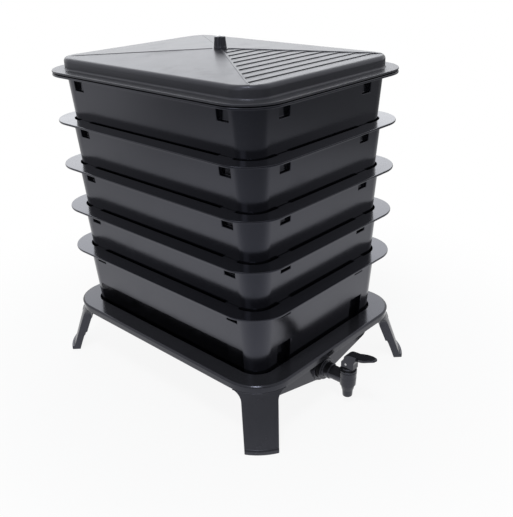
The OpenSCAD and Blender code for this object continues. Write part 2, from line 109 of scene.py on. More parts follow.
def clean_mesh(mesh: bpy.types.Mesh, reach: float = MERGE) -> None:
    """Merges corners that meet, drops faces without area and turns the rest outwards.

    Args:
        mesh: the mesh to clean.
        reach: distance under which two corners are one.
    """
    work = bmesh.new()
    work.from_mesh(mesh)
    bmesh.ops.remove_doubles(work, verts=work.verts, dist=reach)
    bmesh.ops.dissolve_degenerate(work, edges=work.edges, dist=reach)
    bmesh.ops.recalc_face_normals(work, faces=work.faces)
    if work.calc_volume(signed=True) < 0:
        bmesh.ops.reverse_faces(work, faces=work.faces)
    work.to_mesh(mesh)
    work.free()


def settle(piece: Piece) -> Piece:
    """Applies a piece's modifiers to its mesh.

    Args:
        piece: the piece, which keeps no modifier.

    Returns:
        The piece, with its new mesh.
    """
    graph = bpy.context.evaluated_depsgraph_get()
    made = bpy.data.meshes.new_from_object(piece.evaluated_get(graph), depsgraph=graph)
    old = piece.data
    piece.modifiers.clear()
    piece.data = made
    bpy.data.meshes.remove(old)
    return piece


def combine(body: Piece, how: Join, *others: Piece) -> Piece:
    """Adds or cuts other solids, or keeps what they share with the first, and removes them.

    Args:
        body: the solid that is changed.
        how: what to do with each of the others.
        others: the solids that change it, one after another.

    Returns:
        The changed solid.
    """
    for other in others:
        change = body.modifiers.new(how.name, "BOOLEAN")
        change.operation = how.value
        change.solver = "EXACT"
        change.object = other
        settle(body)
        bpy.data.objects.remove(other)
    return body


def smooth(piece: Piece, angle: float = math.radians(38)) -> Piece:
    """Shades a piece smooth up to an angle, with flats that stay flat.

    Args:
        piece: the piece to shade.
        angle: faces that meet at more than this keep a sharp edge.

    Returns:
        The piece.
    """
    piece.data.shade_smooth()
    piece.data.set_sharp_from_angle(angle=angle)
    weigh = piece.modifiers.new("flats", "WEIGHTED_NORMAL")
    weigh.keep_sharp = True
    weigh.weight = FLAT_WEIGHT
    return settle(piece)


def soften(piece: Piece, radius: float, steps: int = 2, angle: float = math.radians(32)) -> Piece:
    """Rounds the edges of a moulding.

    Args:
        piece: the piece to round.
        radius: how far the rounding reaches from each edge.
        steps: faces across a rounding.
        angle: edges that turn by less than this stay.

    Returns:
        The piece.
    """
    clean_mesh(piece.data, WELD)
    edge = piece.modifiers.new("edges", "BEVEL")
    edge.width = radius
    edge.segments = steps
    edge.limit_method = "ANGLE"
    edge.angle_limit = angle
    edge.use_clamp_overlap = False
    edge.miter_outer = "MITER_SHARP"
    settle(piece)
    clean_mesh(piece.data)
    return piece


def loft(name: str, rings: Sequence[Ring]) -> Piece:
    """Skins closed rings that have as many points each, and caps both ends.

    Args:
        name: name of the new object.
        rings: the rings in order.

    Returns:
        The closed solid.
    """
    count = len(rings[0])
    faces = [
        [i * count + j, i * count + (j + 1) % count,
         (i + 1) * count + (j + 1) % count, (i + 1) * count + j]
        for i in range(len(rings) - 1)
        for j in range(count)
    ]
    last = (len(rings) - 1) * count
    faces.append(list(range(count - 1, -1, -1)))
    faces.append(list(range(last, last + count)))
    return mesh_piece(name, [point for ring in rings for point in ring], faces)


def lathe(name: str, profile: Sequence[tuple[float, float]], steps: int = ROUND_STEPS) -> Piece:
    """Turns a profile of radius and height about Z into a closed solid.

    Args:
        name: name of the new object.
        profile: radius and height of each ring, from one end to the other.
        steps: points round each ring.

    Returns:
        The closed solid.
    """
    return loft(name, [circle(radius, height, steps) for radius, height in profile])


def rod(name: str, radius: float, low: float, high: float, steps: int = ROUND_STEPS) -> Piece:
    """Makes a plain round bar along Z.

    Args:
        name: name of the new object.
        radius: its radius.
        low: height of its lower end.
        high: height of its upper end.
        steps: points round it.

    Returns:
        The closed solid.
    """
    return lathe(name, [(radius, low), (radius, high)], steps)


def circle(radius: float, height: float, steps: int) -> Ring:
    """Makes a level ring of points about Z.

    Args:
        radius: its radius.
        height: its height.
        steps: how many points it has.

    Returns:
        The points, anticlockwise from +X.
    """
    turn = 2 * math.pi / steps
    return [Vector((radius * math.cos(i * turn), radius * math.sin(i * turn), height))
            for i in range(steps)]


def prism(name: str, outline: Sequence[tuple[float, float]], low: float, high: float) -> Piece:
    """Raises a flat outline in X and Y from one height to another.

    Args:
        name: name of the new object.
        outline: its corners in order.
        low: height of its lower face.
        high: height of its upper face.

    Returns:
        The closed solid.
    """
    return loft(name, [[Vector((x, y, z)) for x, y in outline] for z in (low, high)])


def side_prism(name: str, outline: Sequence[tuple[float, float]], low: float, high: float) -> Piece:
    """Spreads an outline in Y and Z along X from one place to another.

    Args:
        name: name of the new object.
        outline: its corners in Y and Z, in order.
        low: where it starts along X.
        high: where it ends along X.

    Returns:
        The closed solid.
    """
    return loft(name, [[Vector((x, y, z)) for y, z in outline] for x in (low, high)])


def blocks(name: str, corners: Iterable[tuple[Vector, Vector]],
           places: Sequence[Matrix] = (Matrix.Identity(4),)) -> Piece:
    """Makes one mesh of square blocks, each repeated at every place.

    Args:
        name: name of the new object.
        corners: lowest and highest corner of each block.
        places: where to repeat them.

    Returns:
        The mesh of all the blocks.
    """
    points: list[Vector] = []
    faces: list[list[int]] = []
    sides = ((0, 1, 3, 2), (4, 6, 7, 5), (0, 4, 5, 1), (2, 3, 7, 6), (0, 2, 6, 4), (1, 5, 7, 3))
    for low, high in corners:
        for place in places:
            start = len(points)
            points += [place @ Vector((x, y, z))
                       for x in (low.x, high.x) for y in (low.y, high.y) for z in (low.z, high.z)]
            faces += [[start + corner for corner in side] for side in sides]
    return mesh_piece(name, points, faces)


def repeat(piece: Piece, places: Sequence[Matrix]) -> Piece:
    """Makes one mesh with a copy of a piece at every place, and removes the piece.

    Args:
        piece: the piece to repeat.
        places: where its copies go.

    Returns:
        The mesh of all the copies.
    """
    count = len(piece.data.vertices)
    points = [place @ vertex.co for place in places for vertex in piece.data.vertices]
    faces = [[number * count + at for at in face.vertices]
             for number in range(len(places)) for face in piece.data.polygons]
    name = f"{piece.name}_repeated"
    bpy.data.objects.remove(piece)
    return mesh_piece(name, points, faces)


def arc(start: float, end: float, steps: int) -> list[float]:
    """Returns evenly spaced angles in radians, both ends included, from two in degrees."""
    return [math.radians(start + (end - start) * i / steps) for i in range(steps + 1)]


def move(piece: Piece, place: Matrix) -> Piece:
    """Moves a piece's mesh and returns the piece."""
    piece.data.transform(place)
    return piece


def along_y(place: Vector) -> Matrix:
    """Returns the matrix that turns a solid's own Z to point along +Y, from a place."""
    return Matrix.Translation(place) @ Matrix.Rotation(math.radians(-90), 4, "X")


@dataclass(frozen=True)
class Outline:
    """A rectangle with round corners, seen from above."""

    width: float
    length: float
    corner: float

    def inset(self, by: float) -> "Outline":
        """Returns the outline drawn in by a distance."""
        return Outline(self.width - 2 * by, self.length - 2 * by, self.corner - by)

    def ring(self, height: float, angles: Sequence[float] = ()) -> Ring:
        """Returns its points at a height.

        Args:
            height: their Z.
            angles: angles of a quarter turn at which each corner has points.

        Returns:
            The points, anticlockwise from the middle of the right side.
        """
        quarter = list(angles) or arc(0, 90, CORNER_STEPS)
        reach_x = self.width / 2 - self.corner
        reach_y = self.length / 2 - self.corner
        points: Ring = []
        for sign_x, sign_y in ((1, 1), (-1, 1), (-1, -1), (1, -1)):
            turned = quarter if sign_x * sign_y > 0 else quarter[::-1]
            points += [Vector((sign_x * (reach_x + self.corner * math.cos(angle)),
                               sign_y * (reach_y + self.corner * math.sin(angle)), height))
                       for angle in turned]
        return points

    def plate(self, name: str, low: float, high: float) -> Piece:
        """Returns a plate of this outline between two heights."""
        return loft(name, [self.ring(low), self.ring(high)])


# Shader work

Number = Union[float, int, "Wire"]


class Wire:
    """A node's output, with the arithmetic of a maker's formula written as Python signs."""

    def __init__(self, shader: "Shader", socket: Union[bpy.types.NodeSocket, None]) -> None:
        """Keeps the socket and the shader it belongs to."""
        self.shader = shader
        self.socket = socket

    def _math(self, operation: str, *values: Number) -> "Wire":
        """Adds a Math node on these values."""
        return self.shader.node("ShaderNodeMath", {"operation": operation}, dict(enumerate(values)))

    def __add__(self, other: Number) -> "Wire":
        """Adds a number or a wire."""
        return self._math("ADD", self, other)

    def __radd__(self, other: Number) -> "Wire":
        """Adds to a number."""
        return self._math("ADD", other, self)

    def __sub__(self, other: Number) -> "Wire":
        """Takes away a number or a wire."""
        return self._math("SUBTRACT", self, other)

    def __rsub__(self, other: Number) -> "Wire":
        """Is taken away from a number."""
        return self._math("SUBTRACT", other, self)

    def __mul__(self, other: Number) -> "Wire":
        """Multiplies by a number or a wire."""
        return self._math("MULTIPLY", self, other)

    def __rmul__(self, other: Number) -> "Wire":
        """Multiplies a number."""
        return self._math("MULTIPLY", other, self)

    def along(self, direction: Sequence[float]) -> "Wire":
        """Returns how far this place lies along a direction."""
        return self.shader.node("ShaderNodeVectorMath", {"operation": "DOT_PRODUCT"},
                                {0: self, 1: tuple(direction)}, "Value")

    def length(self) -> "Wire":
        """Returns how far this place is from the middle."""
        return self.shader.node("ShaderNodeVectorMath", {"operation": "LENGTH"}, {0: self}, "Value")

    def between(self, low: float, high: float) -> "Wire":
        """Rises smoothly from one value to another.

        Args:
            low: at and below this the result is 0.
            high: at and above this it is 1.

        Returns:
            The rise, from 0 to 1.
        """
        return self.shader.node(
            "ShaderNodeMapRange", {"interpolation_type": "SMOOTHSTEP"},
            {"Value": self, "From Min": low, "From Max": high}, "Result")


class Shader:
    """The node tree of one material or of the world."""

    def __init__(self, owner: Union[bpy.types.Material, bpy.types.World]) -> None:
        """Starts an empty tree.

        Args:
            owner: the material or world that the tree belongs to.
        """
        owner.use_nodes = True
        self.ending = "World" if isinstance(owner, bpy.types.World) else "Material"
        self.tree = owner.node_tree
        self.tree.nodes.clear()

    def node(self, kind: str, settings: dict[str, object], inputs: dict[Union[str, int], object],
             output: Union[str, int] = 0) -> Wire:
        """Adds a node.

        Args:
            kind: its type.
            settings: its own properties, set before its sockets.
            inputs: values or wires for its sockets, by name or place.
            output: which of its outputs to return.

        Returns:
            The output that was asked for.
        """
        made = self.tree.nodes.new(kind)
        for name, value in settings.items():
            setattr(made, name, value)
        for name, value in inputs.items():
            if isinstance(value, Wire):
                self.tree.links.new(value.socket, made.inputs[name])
            else:
                made.inputs[name].default_value = value
        return Wire(self, made.outputs[output] if made.outputs else None)

    def spot(self) -> Wire:
        """Returns the place on the piece, in metres, which moves with the piece."""
        return self.node("ShaderNodeTexCoord", {}, {}, "Object")

    def shifted(self, by: Sequence[float], stretch: Sequence[float] = (1, 1, 1)) -> Wire:
        """Returns the place on the piece, moved and stretched.

        Args:
            by: what is added to it.
            stretch: what each direction is multiplied by.

        Returns:
            The changed place.
        """
        return self.node("ShaderNodeMapping", {}, {"Vector": self.spot(), "Location": tuple(by),
                                                   "Scale": tuple(stretch)})

    def noise(self, place: Wire, scale: float, detail: float, roughness: float = 0.55) -> Wire:
        """Returns a cloudy pattern from 0 to 1.

        Args:
            place: where on the piece.
            scale: lumps a metre.
            detail: finer layers.
            roughness: how strong the finer layers are.

        Returns:
            The pattern.
        """
        return self.node("ShaderNodeTexNoise", {"noise_dimensions": "3D"}, {
            "Vector": place, "Scale": scale, "Detail": detail, "Roughness": roughness})

    def blend(self, share: Number, first: Colour, second: Colour) -> Wire:
        """Mixes two colours by a share of the second."""
        return self.node("ShaderNodeMix", {"data_type": "RGBA"},
                         {0: share, 6: (*first, 1.0), 7: (*second, 1.0)}, 2)

    def bump(self, height: Wire, depth: float, under: Union[Wire, None] = None) -> Wire:
        """Raises a surface by a pattern.

        Args:
            height: the pattern, from 0 to 1.
            depth: how high 1 stands, in metres.
            under: a normal that is raised further.

        Returns:
            The normal.
        """
        sockets: dict[Union[str, int], object] = {
            "Height": height, "Distance": depth, "Strength": 1.0}
        if under is not None:
            sockets["Normal"] = under
        return self.node("ShaderNodeBump", {}, sockets)

    def surface(self, inputs: dict[Union[str, int], object]) -> None:
        """Ends the tree in a Principled surface with these sockets."""
        self.end(self.node("ShaderNodeBsdfPrincipled", {}, inputs))

    def end(self, surface: Wire) -> None:
        """Ends the tree in its owner's output."""
        self.node(f"ShaderNodeOutput{self.ending}", {}, {"Surface": surface})


class Sheen(Enum):
    """How a mould's face leaves the plastic: the middle roughness of the surface."""

    POLISHED = 0.07
    GLOSS = 0.17
    SEMI = 0.26
    SATIN = 0.36


@dataclass(frozen=True)
class MouldedPlastic:
    """Black plastic from a mould, with its fine grain, flow marks and handling marks."""

    name: str
    sheen: Sheen
    colour: Colour = (0.0052, 0.0053, 0.0068)
    tint: Colour = (0.80, 0.82, 1.0)
    deepest: float = 0.72
    palest: float = 1.35
    haze: float = 0.001
    smoothest: float = 0.86
    grain: float = 0.000012
    grain_scale: float = 1500.0
    wave: float = 0.00009
    wave_scale: float = 14.0
    cloud_scale: float = 9.0
    streak_scale: float = 46.0
    streak_stretch: float = 0.16
    smudge_scale: float = 24.0
    smudge_range: Span = (0.52, 0.74)
    speck_scale: float = 420.0
    scratch_scale: float = 70.0
    scratch_stretch: float = 9.0
    scratch_range: Span = (0.66, 0.72)
    cloud_part: float = 0.55
    streak_part: float = 0.3
    speck_part: float = 0.15
    speck_rough: float = 0.35
    scratch_rough: float = 0.3
    flow: float = 0.05
    index: float = 1.5
    seed: float = 0.0

    def material(self) -> bpy.types.Material:
        """Builds the material.

        Returns:
            A material whose colour, roughness and relief all vary over the surface.
        """
        made = bpy.data.materials.new(self.name)
        shader = Shader(made)
        here = shader.shifted((self.seed, 2 * self.seed, -self.seed))
        drawn = shader.shifted((self.seed, 0, 0), (1, 1, self.streak_stretch))
        rubbed = shader.shifted((0, self.seed, 0), (1, 1, self.scratch_stretch))
        cloud = shader.noise(here, self.cloud_scale, 2.0)
        streak = shader.noise(drawn, self.streak_scale, 3.0)
        smudge = shader.noise(here, self.smudge_scale, 5.0, 0.62).between(*self.smudge_range)
        speck = shader.noise(here, self.speck_scale, 2.0)
        scratch = shader.noise(rubbed, self.scratch_scale, 4.0, 0.7).between(*self.scratch_range)
        deep = tuple(self.deepest * part for part in self.colour)
        pale = tuple(self.palest * part + self.haze for part in self.colour)
        shade = shader.blend(self.cloud_part * cloud + self.streak_part * streak
                             + self.speck_part * speck, deep, pale)
        rough = (self.sheen.value * self.smoothest + self.flow * streak
                 + self.speck_rough * self.flow * speck + self.flow * smudge
                 + self.scratch_rough * self.flow * scratch)
        waved = shader.bump(shader.noise(here, self.wave_scale, 1.5, 0.4), self.wave)
        grained = shader.bump(shader.noise(here, self.grain_scale, 2.0), self.grain, waved)
        shader.surface({"Base Color": shade, "Roughness": rough, "Normal": grained,
                        "IOR": self.index, "Specular Tint": (*self.tint, 1.0)})
        return made


@dataclass(frozen=True)
class Rubber:
    """Soft rubber or silicone, dull and faintly mottled."""

    name: str
    colour: Colour
    roughness: float = 0.62
    shades: Span = (0.8, 1.2)
    mottle_scale: float = 180.0
    mottle_rough: float = 0.12
    pit_scale: float = 2400.0
    pit_depth: float = 0.00002
    index: float = 1.5

    def material(self) -> bpy.types.Material:
        """Builds the material.

        Returns:
            A dull material with a fine pitted surface.
        """
        made = bpy.data.materials.new(self.name)
        shader = Shader(made)
        mottle = shader.noise(shader.spot(), self.mottle_scale, 4.0)
        pits = shader.noise(shader.spot(), self.pit_scale, 2.0)
        deep, pale = (tuple(share * part for part in self.colour) for share in self.shades)
        shader.surface({"Base Color": shader.blend(mottle, deep, pale),
                        "Roughness": (self.roughness - self.mottle_rough / 2
                                      + self.mottle_rough * mottle),
                        "Normal": shader.bump(pits, self.pit_depth), "IOR": self.index})
        return made


@dataclass(frozen=True)
class PlatedSteel:
    """Bright plated steel with fine turning marks."""

    name: str
    colour: Colour = (0.56, 0.56, 0.57)
    roughness: float = 0.26
    shades: Span = (0.85, 1.12)
    mottle_scale: float = 700.0
    mark_scale: float = 900.0
    mark_stretch: float = 14.0
    mark_depth: float = 0.000006
    mark_rough: float = 0.14
    mottle_rough: float = 0.08

    def material(self) -> bpy.types.Material:
        """Builds the material.

        Returns:
            A metal material with fine marks and a mottled plating.
        """
        made = bpy.data.materials.new(self.name)
        shader = Shader(made)
        turned = shader.shifted((0, 0, 0), (1, 1, self.mark_stretch))
        mottle = shader.noise(shader.spot(), self.mottle_scale, 4.0)
        marks = shader.noise(turned, self.mark_scale, 3.0)
        deep, pale = (tuple(share * part for part in self.colour) for share in self.shades)
        shader.surface({"Base Color": shader.blend(mottle, deep, pale), "Metallic": 1.0,
                        "Roughness": (self.roughness + self.mark_rough * marks
                                      + self.mottle_rough * mottle),
                        "Normal": shader.bump(marks, self.mark_depth)})
        return made


class Slot(Enum):
    """The record's material slots."""

    TRAY = "tray_black"
    LID = "lid_black"
    BASE = "base_black"
    KNOB = "knob_black"
    TAP = "tap_black"
    LEVER = "lever_gloss"
    GASKET = "gasket_rubber"
    SEAT = "seat_silicone"
    STEEL = "screw_steel"


def dress(piece: Piece, body: str, slot: Slot, material: bpy.types.Material, *nodes: str) -> Piece:
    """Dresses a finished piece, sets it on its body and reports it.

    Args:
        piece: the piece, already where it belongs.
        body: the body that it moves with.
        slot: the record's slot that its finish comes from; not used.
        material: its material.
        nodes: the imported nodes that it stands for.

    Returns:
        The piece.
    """
    piece.data.materials.clear()
    piece.data.materials.append(material)
    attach(piece, body)
    if nodes:
        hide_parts(*nodes)
    LOG.info("%s on %s: %d faces", piece.name, body, len(piece.data.polygons))
    return piece


def dress_node(name: str, material: bpy.types.Material) -> None:
    """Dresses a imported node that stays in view.

    Args:
        name: name of the node.
        material: its material.
    """
    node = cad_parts[name]
    node.data.materials.clear()
    node.data.materials.append(material)
    LOG.info("%s keeps its packed shape", name)


def node_top(name: str) -> float:
    """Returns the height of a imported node's highest point."""
    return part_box(name)[1].z


# The object's own pieces

@dataclass(frozen=True)
class StackingRim:
    """What every piece of the stack shares: the rim, the wall below it and its lugs."""

    corner: float = 0.046
    overhang: float = 0.0175
    thick: float = 0.0028
    wall: float = 0.0022
    draft: float = math.radians(4.5)
    lug_from_corner_w: float = 0.023
    lug_from_corner_l: float = 0.012
    pocket_w: float = 0.0165
    pocket_d: float = 0.010
    pocket_h: float = 0.018
    groove_gap: float = 0.0012

    @property
    def outline(self) -> Outline:
        """The rim's outline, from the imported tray."""
        low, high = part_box("tray_1")
        return Outline(high.x - low.x, high.y - low.y, self.corner)

    @property
    def wall_top(self) -> Outline:
        """The wall's outline at the height of the rim's top face."""
        return self.outline.inset(self.overhang)

    def wall_at(self, depth: float, skin: float = 0.0) -> Outline:
        """Returns the wall's outline at a depth below the rim, drawn in by a skin."""
        return self.wall_top.inset(skin + depth * math.tan(self.draft))

    @property
    def lug_size(self) -> Vector:
        """Width, reach into the tray and height of a lug."""
        return Vector((self.pocket_w + 2 * self.wall, self.pocket_d + self.wall,
                       self.thick + self.pocket_h + self.wall))

    @property
    def groove_size(self) -> tuple[float, float]:
        """Width of the groove that passes over a lug, and its reach into the tray."""
        return self.lug_size.x + 2 * self.groove_gap, self.lug_size.y + self.groove_gap

    def lug_places(self) -> list[Matrix]:
        """Places the lugs round the wall.

        Returns:
            The place of each lug, with +Y pointing inwards from the wall's top.
        """
        half_w, half_l = self.wall_top.width / 2, self.wall_top.length / 2
        lug_x = half_w - self.wall_top.corner - self.lug_from_corner_w
        lug_y = half_l - self.wall_top.corner - self.lug_from_corner_l
        places = []
        for turn in (0.0, math.pi):
            for side in (-1, 1):
                places.append(Matrix.Rotation(turn, 4, "Z")
                              @ Matrix.Translation((side * lug_x, -half_l, 0)))
                places.append(Matrix.Rotation(turn + math.pi / 2, 4, "Z")
                              @ Matrix.Translation((side * lug_y, -half_w, 0)))
        return places

    def at_lugs(self, name: str, width: float, inward: float, low: float, high: float) -> Piece:
        """Returns a block at each lug.

        Args:
            name: name of the mesh.
            width: its width along the wall.
            inward: how far it reaches inwards from the wall's top.
            low: its lowest height.
            high: its highest height.

        Returns:
            One mesh of all the blocks.
        """
        corners = [(Vector((-width / 2, -OVERRUN, low)), Vector((width / 2, inward, high)))]
        return blocks(name, corners, self.lug_places())


RIM = StackingRim()


@dataclass
class TrayStack:
    """Five like trays, each moulded about the middle of its rim's top face."""

    count: int = 5
    height: float = 0.095
    foot_round: float = 0.0022
    hole: float = 0.0085
    hole_pitch: float = 0.017
    pocket_shown: float = 0.0062
    pocket_rise: float = 0.0005
    edge: float = 0.0008
    tops: list[float] = field(init=False)

    def __post_init__(self) -> None:
        """Takes each tray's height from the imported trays."""
        self.tops = [node_top(f"tray_{number}") for number in range(1, self.count + 1)]
        self.pitch = self.tops[1] - self.tops[0]

    def _block(self, name: str, skin: float, top: float, bottom: float) -> Piece:
        """Returns everything inside the wall between two depths, with a rounded foot.

        Args:
            name: name of the mesh.
            skin: how far it is drawn in.
            top: depth of its top below the rim.
            bottom: depth of its underside.

        Returns:
            The solid.
        """
        rings = [RIM.wall_at(top, skin).ring(-top)]
        for angle in arc(0, 90, 4):
            depth = bottom - self.foot_round * (1 - math.sin(angle))
            drawn_in = skin + self.foot_round * (1 - math.cos(angle))
            rings.append(RIM.wall_at(depth, drawn_in).ring(-depth))
        return loft(name, rings[::-1])

    def moulding(self) -> bpy.types.Mesh:
        """Builds the mesh that the five trays share.

        Returns:
            The tray's mesh, its rim's top face at zero height.
        """
        lug_w, lug_in, lug_h = RIM.lug_size
        groove_w, groove_in = RIM.groove_size
        bump_in = groove_in + RIM.wall
        below = -self.height - OVERRUN
        tray = self._block("tray", 0, RIM.thick / 2, self.height)
        room = self._block("room", RIM.wall, -OVERRUN, self.height - RIM.wall)
        combine(room, Join.CUT, RIM.at_lugs("lugs", lug_w, lug_in, -lug_h, OVERRUN),
                RIM.at_lugs("bumps", groove_w + 2 * RIM.wall, bump_in, below,
                            RIM.wall - self.pitch),
                RIM.at_lugs("lug_tops", lug_w, lug_in, 0, 3 * OVERRUN))
        combine(tray, Join.ADD, RIM.outline.plate("rim", -RIM.thick, 0))
        combine(tray, Join.CUT, room, self._pockets(),
                RIM.at_lugs("grooves", groove_w, groove_in, below, -self.pitch),
                self._floor_holes(bump_in))
        soften(tray, self.edge)
        smooth(tray)
        mesh = tray.data
        bpy.data.objects.remove(tray)
        return mesh

    def _pockets(self) -> Piece:
        """Makes the cutters of the lugs' pockets, whose floor has the mould's draft.

        Returns:
            One mesh of all the cutters.
        """
        half, low, high = RIM.pocket_w / 2, -RIM.thick - RIM.pocket_h, -RIM.thick
        rings = [[Vector((x, y, z)) for x, z in ((-half, low + rise), (half, low + rise),
                                                 (half, high), (-half, high))]
                 for y, rise in ((-OVERRUN, 0), (self.pocket_shown, self.pocket_rise))]
        return repeat(loft("pocket", rings), RIM.lug_places())

    def _floor_holes(self, bump_in: float) -> Piece:
        """Makes the square cutters of the floor's holes.

        Args:
            bump_in: how far the bumps over the grooves reach in, which the holes keep clear of.

        Returns:
            One mesh of all the cutters.
        """
        room = bump_in + self.hole
        across = math.floor((RIM.wall_top.width / 2 - room) / self.hole_pitch)
        along = math.floor((RIM.wall_top.length / 2 - room) / self.hole_pitch)
        half = self.hole / 2
        corners = [
            (Vector((i * self.hole_pitch - half, j * self.hole_pitch - half,
                     -self.height - OVERRUN)),
             Vector((i * self.hole_pitch + half, j * self.hole_pitch + half,
                     -self.height + RIM.wall + OVERRUN)))
            for i in range(-across, across + 1)
            for j in range(-along, along + 1)
        ]
        return blocks("floor_holes", corners)

    def build(self) -> None:
        """Places the five trays, each with flow marks of its own."""
        mesh = self.moulding()
        for number, top in enumerate(self.tops, start=1):
            name = f"tray_{number}"
            tray = linked(f"{name}_moulding", mesh.copy())
            tray.location.z = top
            plastic = MouldedPlastic(f"{name}_plastic", Sheen.GLOSS, index=1.7, seed=0.37 * number)
            dress(tray, name, Slot.TRAY, plastic.material(), name)
        bpy.data.meshes.remove(mesh)


@dataclass
class RoofLid:
    """The brimmed lid with its roof-shaped top, hip beads and lapped boards."""

    thick: float = 0.0025
    gap: float = 0.001
    seat_in: float = 0.005
    box_in: float = 0.016
    box_corner: float = 0.030
    box_height: float = 0.0165
    rise: float = 0.008
    edge: float = 0.005
    foot_hollow: float = 0.0022
    rib_h: float = 0.006
    rib_t: float = 0.0025
    rib_gap: float = 0.001
    boss_r: float = 0.006
    boss_h: float = 0.012
    screw_in: float = 0.009
    screw_r: float = 0.00205
    roof_rings: tuple[float, ...] = (0.75, 0.5, 0.25, 0.05)
    boards: int = 10
    board_step: float = 0.0009
    board_margin: float = 0.0015
    knob_r: float = 0.008
    bead_w: float = 0.0019
    bead_h: float = 0.0005
    bead_rings: tuple[Span, ...] = ((0.05, 1.0), (0.3, 1.0), (0.6, 1.0), (0.93, 1.0), (0.975, 0.55))
    mould_edge: float = 0.0008
    sharp: float = math.radians(26)

    def __post_init__(self) -> None:
        """Takes the lid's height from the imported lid."""
        self.brim_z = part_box("lid")[0].z + self.rib_h + self.gap
        self.edge_z = self.brim_z + self.box_height
        self.top_z = self.edge_z + self.rise
        self.box = RIM.outline.inset(self.box_in)
        self.box = Outline(self.box.width, self.box.length, self.box_corner)
        self.roof = self.box.inset(self.edge)

    def _corner_angles(self) -> list[float]:
        """Divides a corner's quarter turn.

        Returns:
            The angles of its steps, one of which lies on the hip.
        """
        half_w, half_l = self.roof.width / 2, self.roof.length / 2
        across, along = half_w - self.roof.corner, half_l - self.roof.corner
        span = self.roof.corner * math.hypot(half_w, half_l)
        hip = math.acos((half_w * along - half_l * across) / span) - math.atan2(half_w, half_l)
        steps = arc(0, 90, CORNER_STEPS)
        nearest = min(range(1, CORNER_STEPS), key=lambda at: abs(steps[at] - hip))
        steps[nearest] = hip
        return steps

    def _roof_z(self, point: Vector) -> float:
        """Returns the roof's height over a point."""
        share = max(abs(point.x) / (self.roof.width / 2), abs(point.y) / (self.roof.length / 2))
        return self.top_z - self.rise * share

    def _hip(self) -> Vector:
        """Finds the foot of the hip at the +X +Y corner.

        Returns:
            Where the hip meets the roof's outline.
        """
        points = self.roof.ring(0, self._corner_angles())[:CORNER_STEPS + 1]
        corner = min(points, key=lambda point: abs(
            point.x / self.roof.width - point.y / self.roof.length))
        return Vector((corner.x, corner.y, self._roof_z(corner)))

    def _house(self, name: str, skin: float, foot: Sequence[Ring]) -> Piece:
        """Returns the raised box with its roof as a solid.

        Args:
            name: name of the mesh.
            skin: how far it is drawn in.
            foot: the rings below its wall, from the lowest up.

        Returns:
            The solid.
        """
        angles = self._corner_angles()
        eaves = self.roof.inset(skin).ring(0, angles)
        rings = list(foot)
        for turn in arc(0, 90, 7):
            ring = self.box.inset(skin + self.edge * (1 - math.cos(turn))).ring(0, angles)
            for point, eave in zip(ring, eaves):
                point.z = self._roof_z(eave) - skin - self.edge * (1 - math.sin(turn))
            rings.append(ring)
        for share in self.roof_rings:
            ring = [share * point for point in eaves]
            for point in ring:
                point.z = self._roof_z(point) - skin
            rings.append(ring)
        return loft(name, rings)

    def _wall_foot(self) -> list[Ring]:
        """Makes the small hollow where the box's wall meets the brim.

        Returns:
            Its rings, from the lowest up.
        """
        angles = self._corner_angles()
        brim_top = self.brim_z + self.thick
        rings = [self.box.inset(-self.foot_hollow).ring(brim_top - self.thick / 2, angles)]
        for turn in arc(0, 90, 5):
            out = self.foot_hollow * (1 - math.sin(turn))
            rings.append(self.box.inset(-out).ring(
                brim_top + self.foot_hollow * (1 - math.cos(turn)), angles))
        return rings

    def _beads(self) -> Piece:
        """Makes the thin raised beads along the four hips.

        Returns:
            One mesh of all four.
        """
        hip = self._hip()
        along = Vector((hip.x, hip.y, 0)).normalized()
        across = Vector((-along.y, along.x, 0))
        rings: list[Ring] = []
        for share, size in self.bead_rings:
            spot = share * hip
            spot.z = self._roof_z(spot)
            arch = [spot + across * (self.bead_w / 2 * size * math.cos(turn))
                    + Vector((0, 0, self.bead_h * size * math.sin(turn)))
                    for turn in arc(0, 180, 6)]
            low = Vector((0, 0, -self.thick / 2))
            rings.append(arch + [arch[-1] + low, arch[0] + low])
        return repeat(loft("bead", rings), [
            Matrix.Diagonal((mirror_x, mirror_y, 1, 1))
            for mirror_x, mirror_y in ((1, 1), (-1, 1), (-1, -1), (1, -1))])

    def _board_cutter(self) -> Piece:
        """Makes the saw-toothed solid that leaves lapped boards on the tap side.

        Returns:
            The cutter, which covers the boards' three-cornered field only.
        """
        front = self.roof.length / 2
        pitch = (front - self.knob_r) / self.boards
        slope = self.rise / front
        chamfer = self.board_step / 3
        outline: list[tuple[float, float]] = []
        for number in range(self.boards):
            y = -front + number * pitch
            z = self.edge_z + number * pitch * slope
            outline += [(y, z - chamfer), (y + chamfer, z),
                        (y + pitch, z + pitch * slope - self.board_step)]
        outline[0] = (-front, self.edge_z)
        roof_clear = self.top_z + self.rise
        outline += [(-self.knob_r, roof_clear), (-front, roof_clear)]
        teeth = side_prism("teeth", outline, -self.box.width / 2, self.box.width / 2)
        half = self.roof.width / 2 - 2 * self.board_margin
        triangle = [(0.0, -3 * self.board_margin), (-half, -front + self.board_margin),
                    (half, -front + self.board_margin)]
        return combine(teeth, Join.KEEP, prism("field", triangle, self.brim_z, roof_clear))

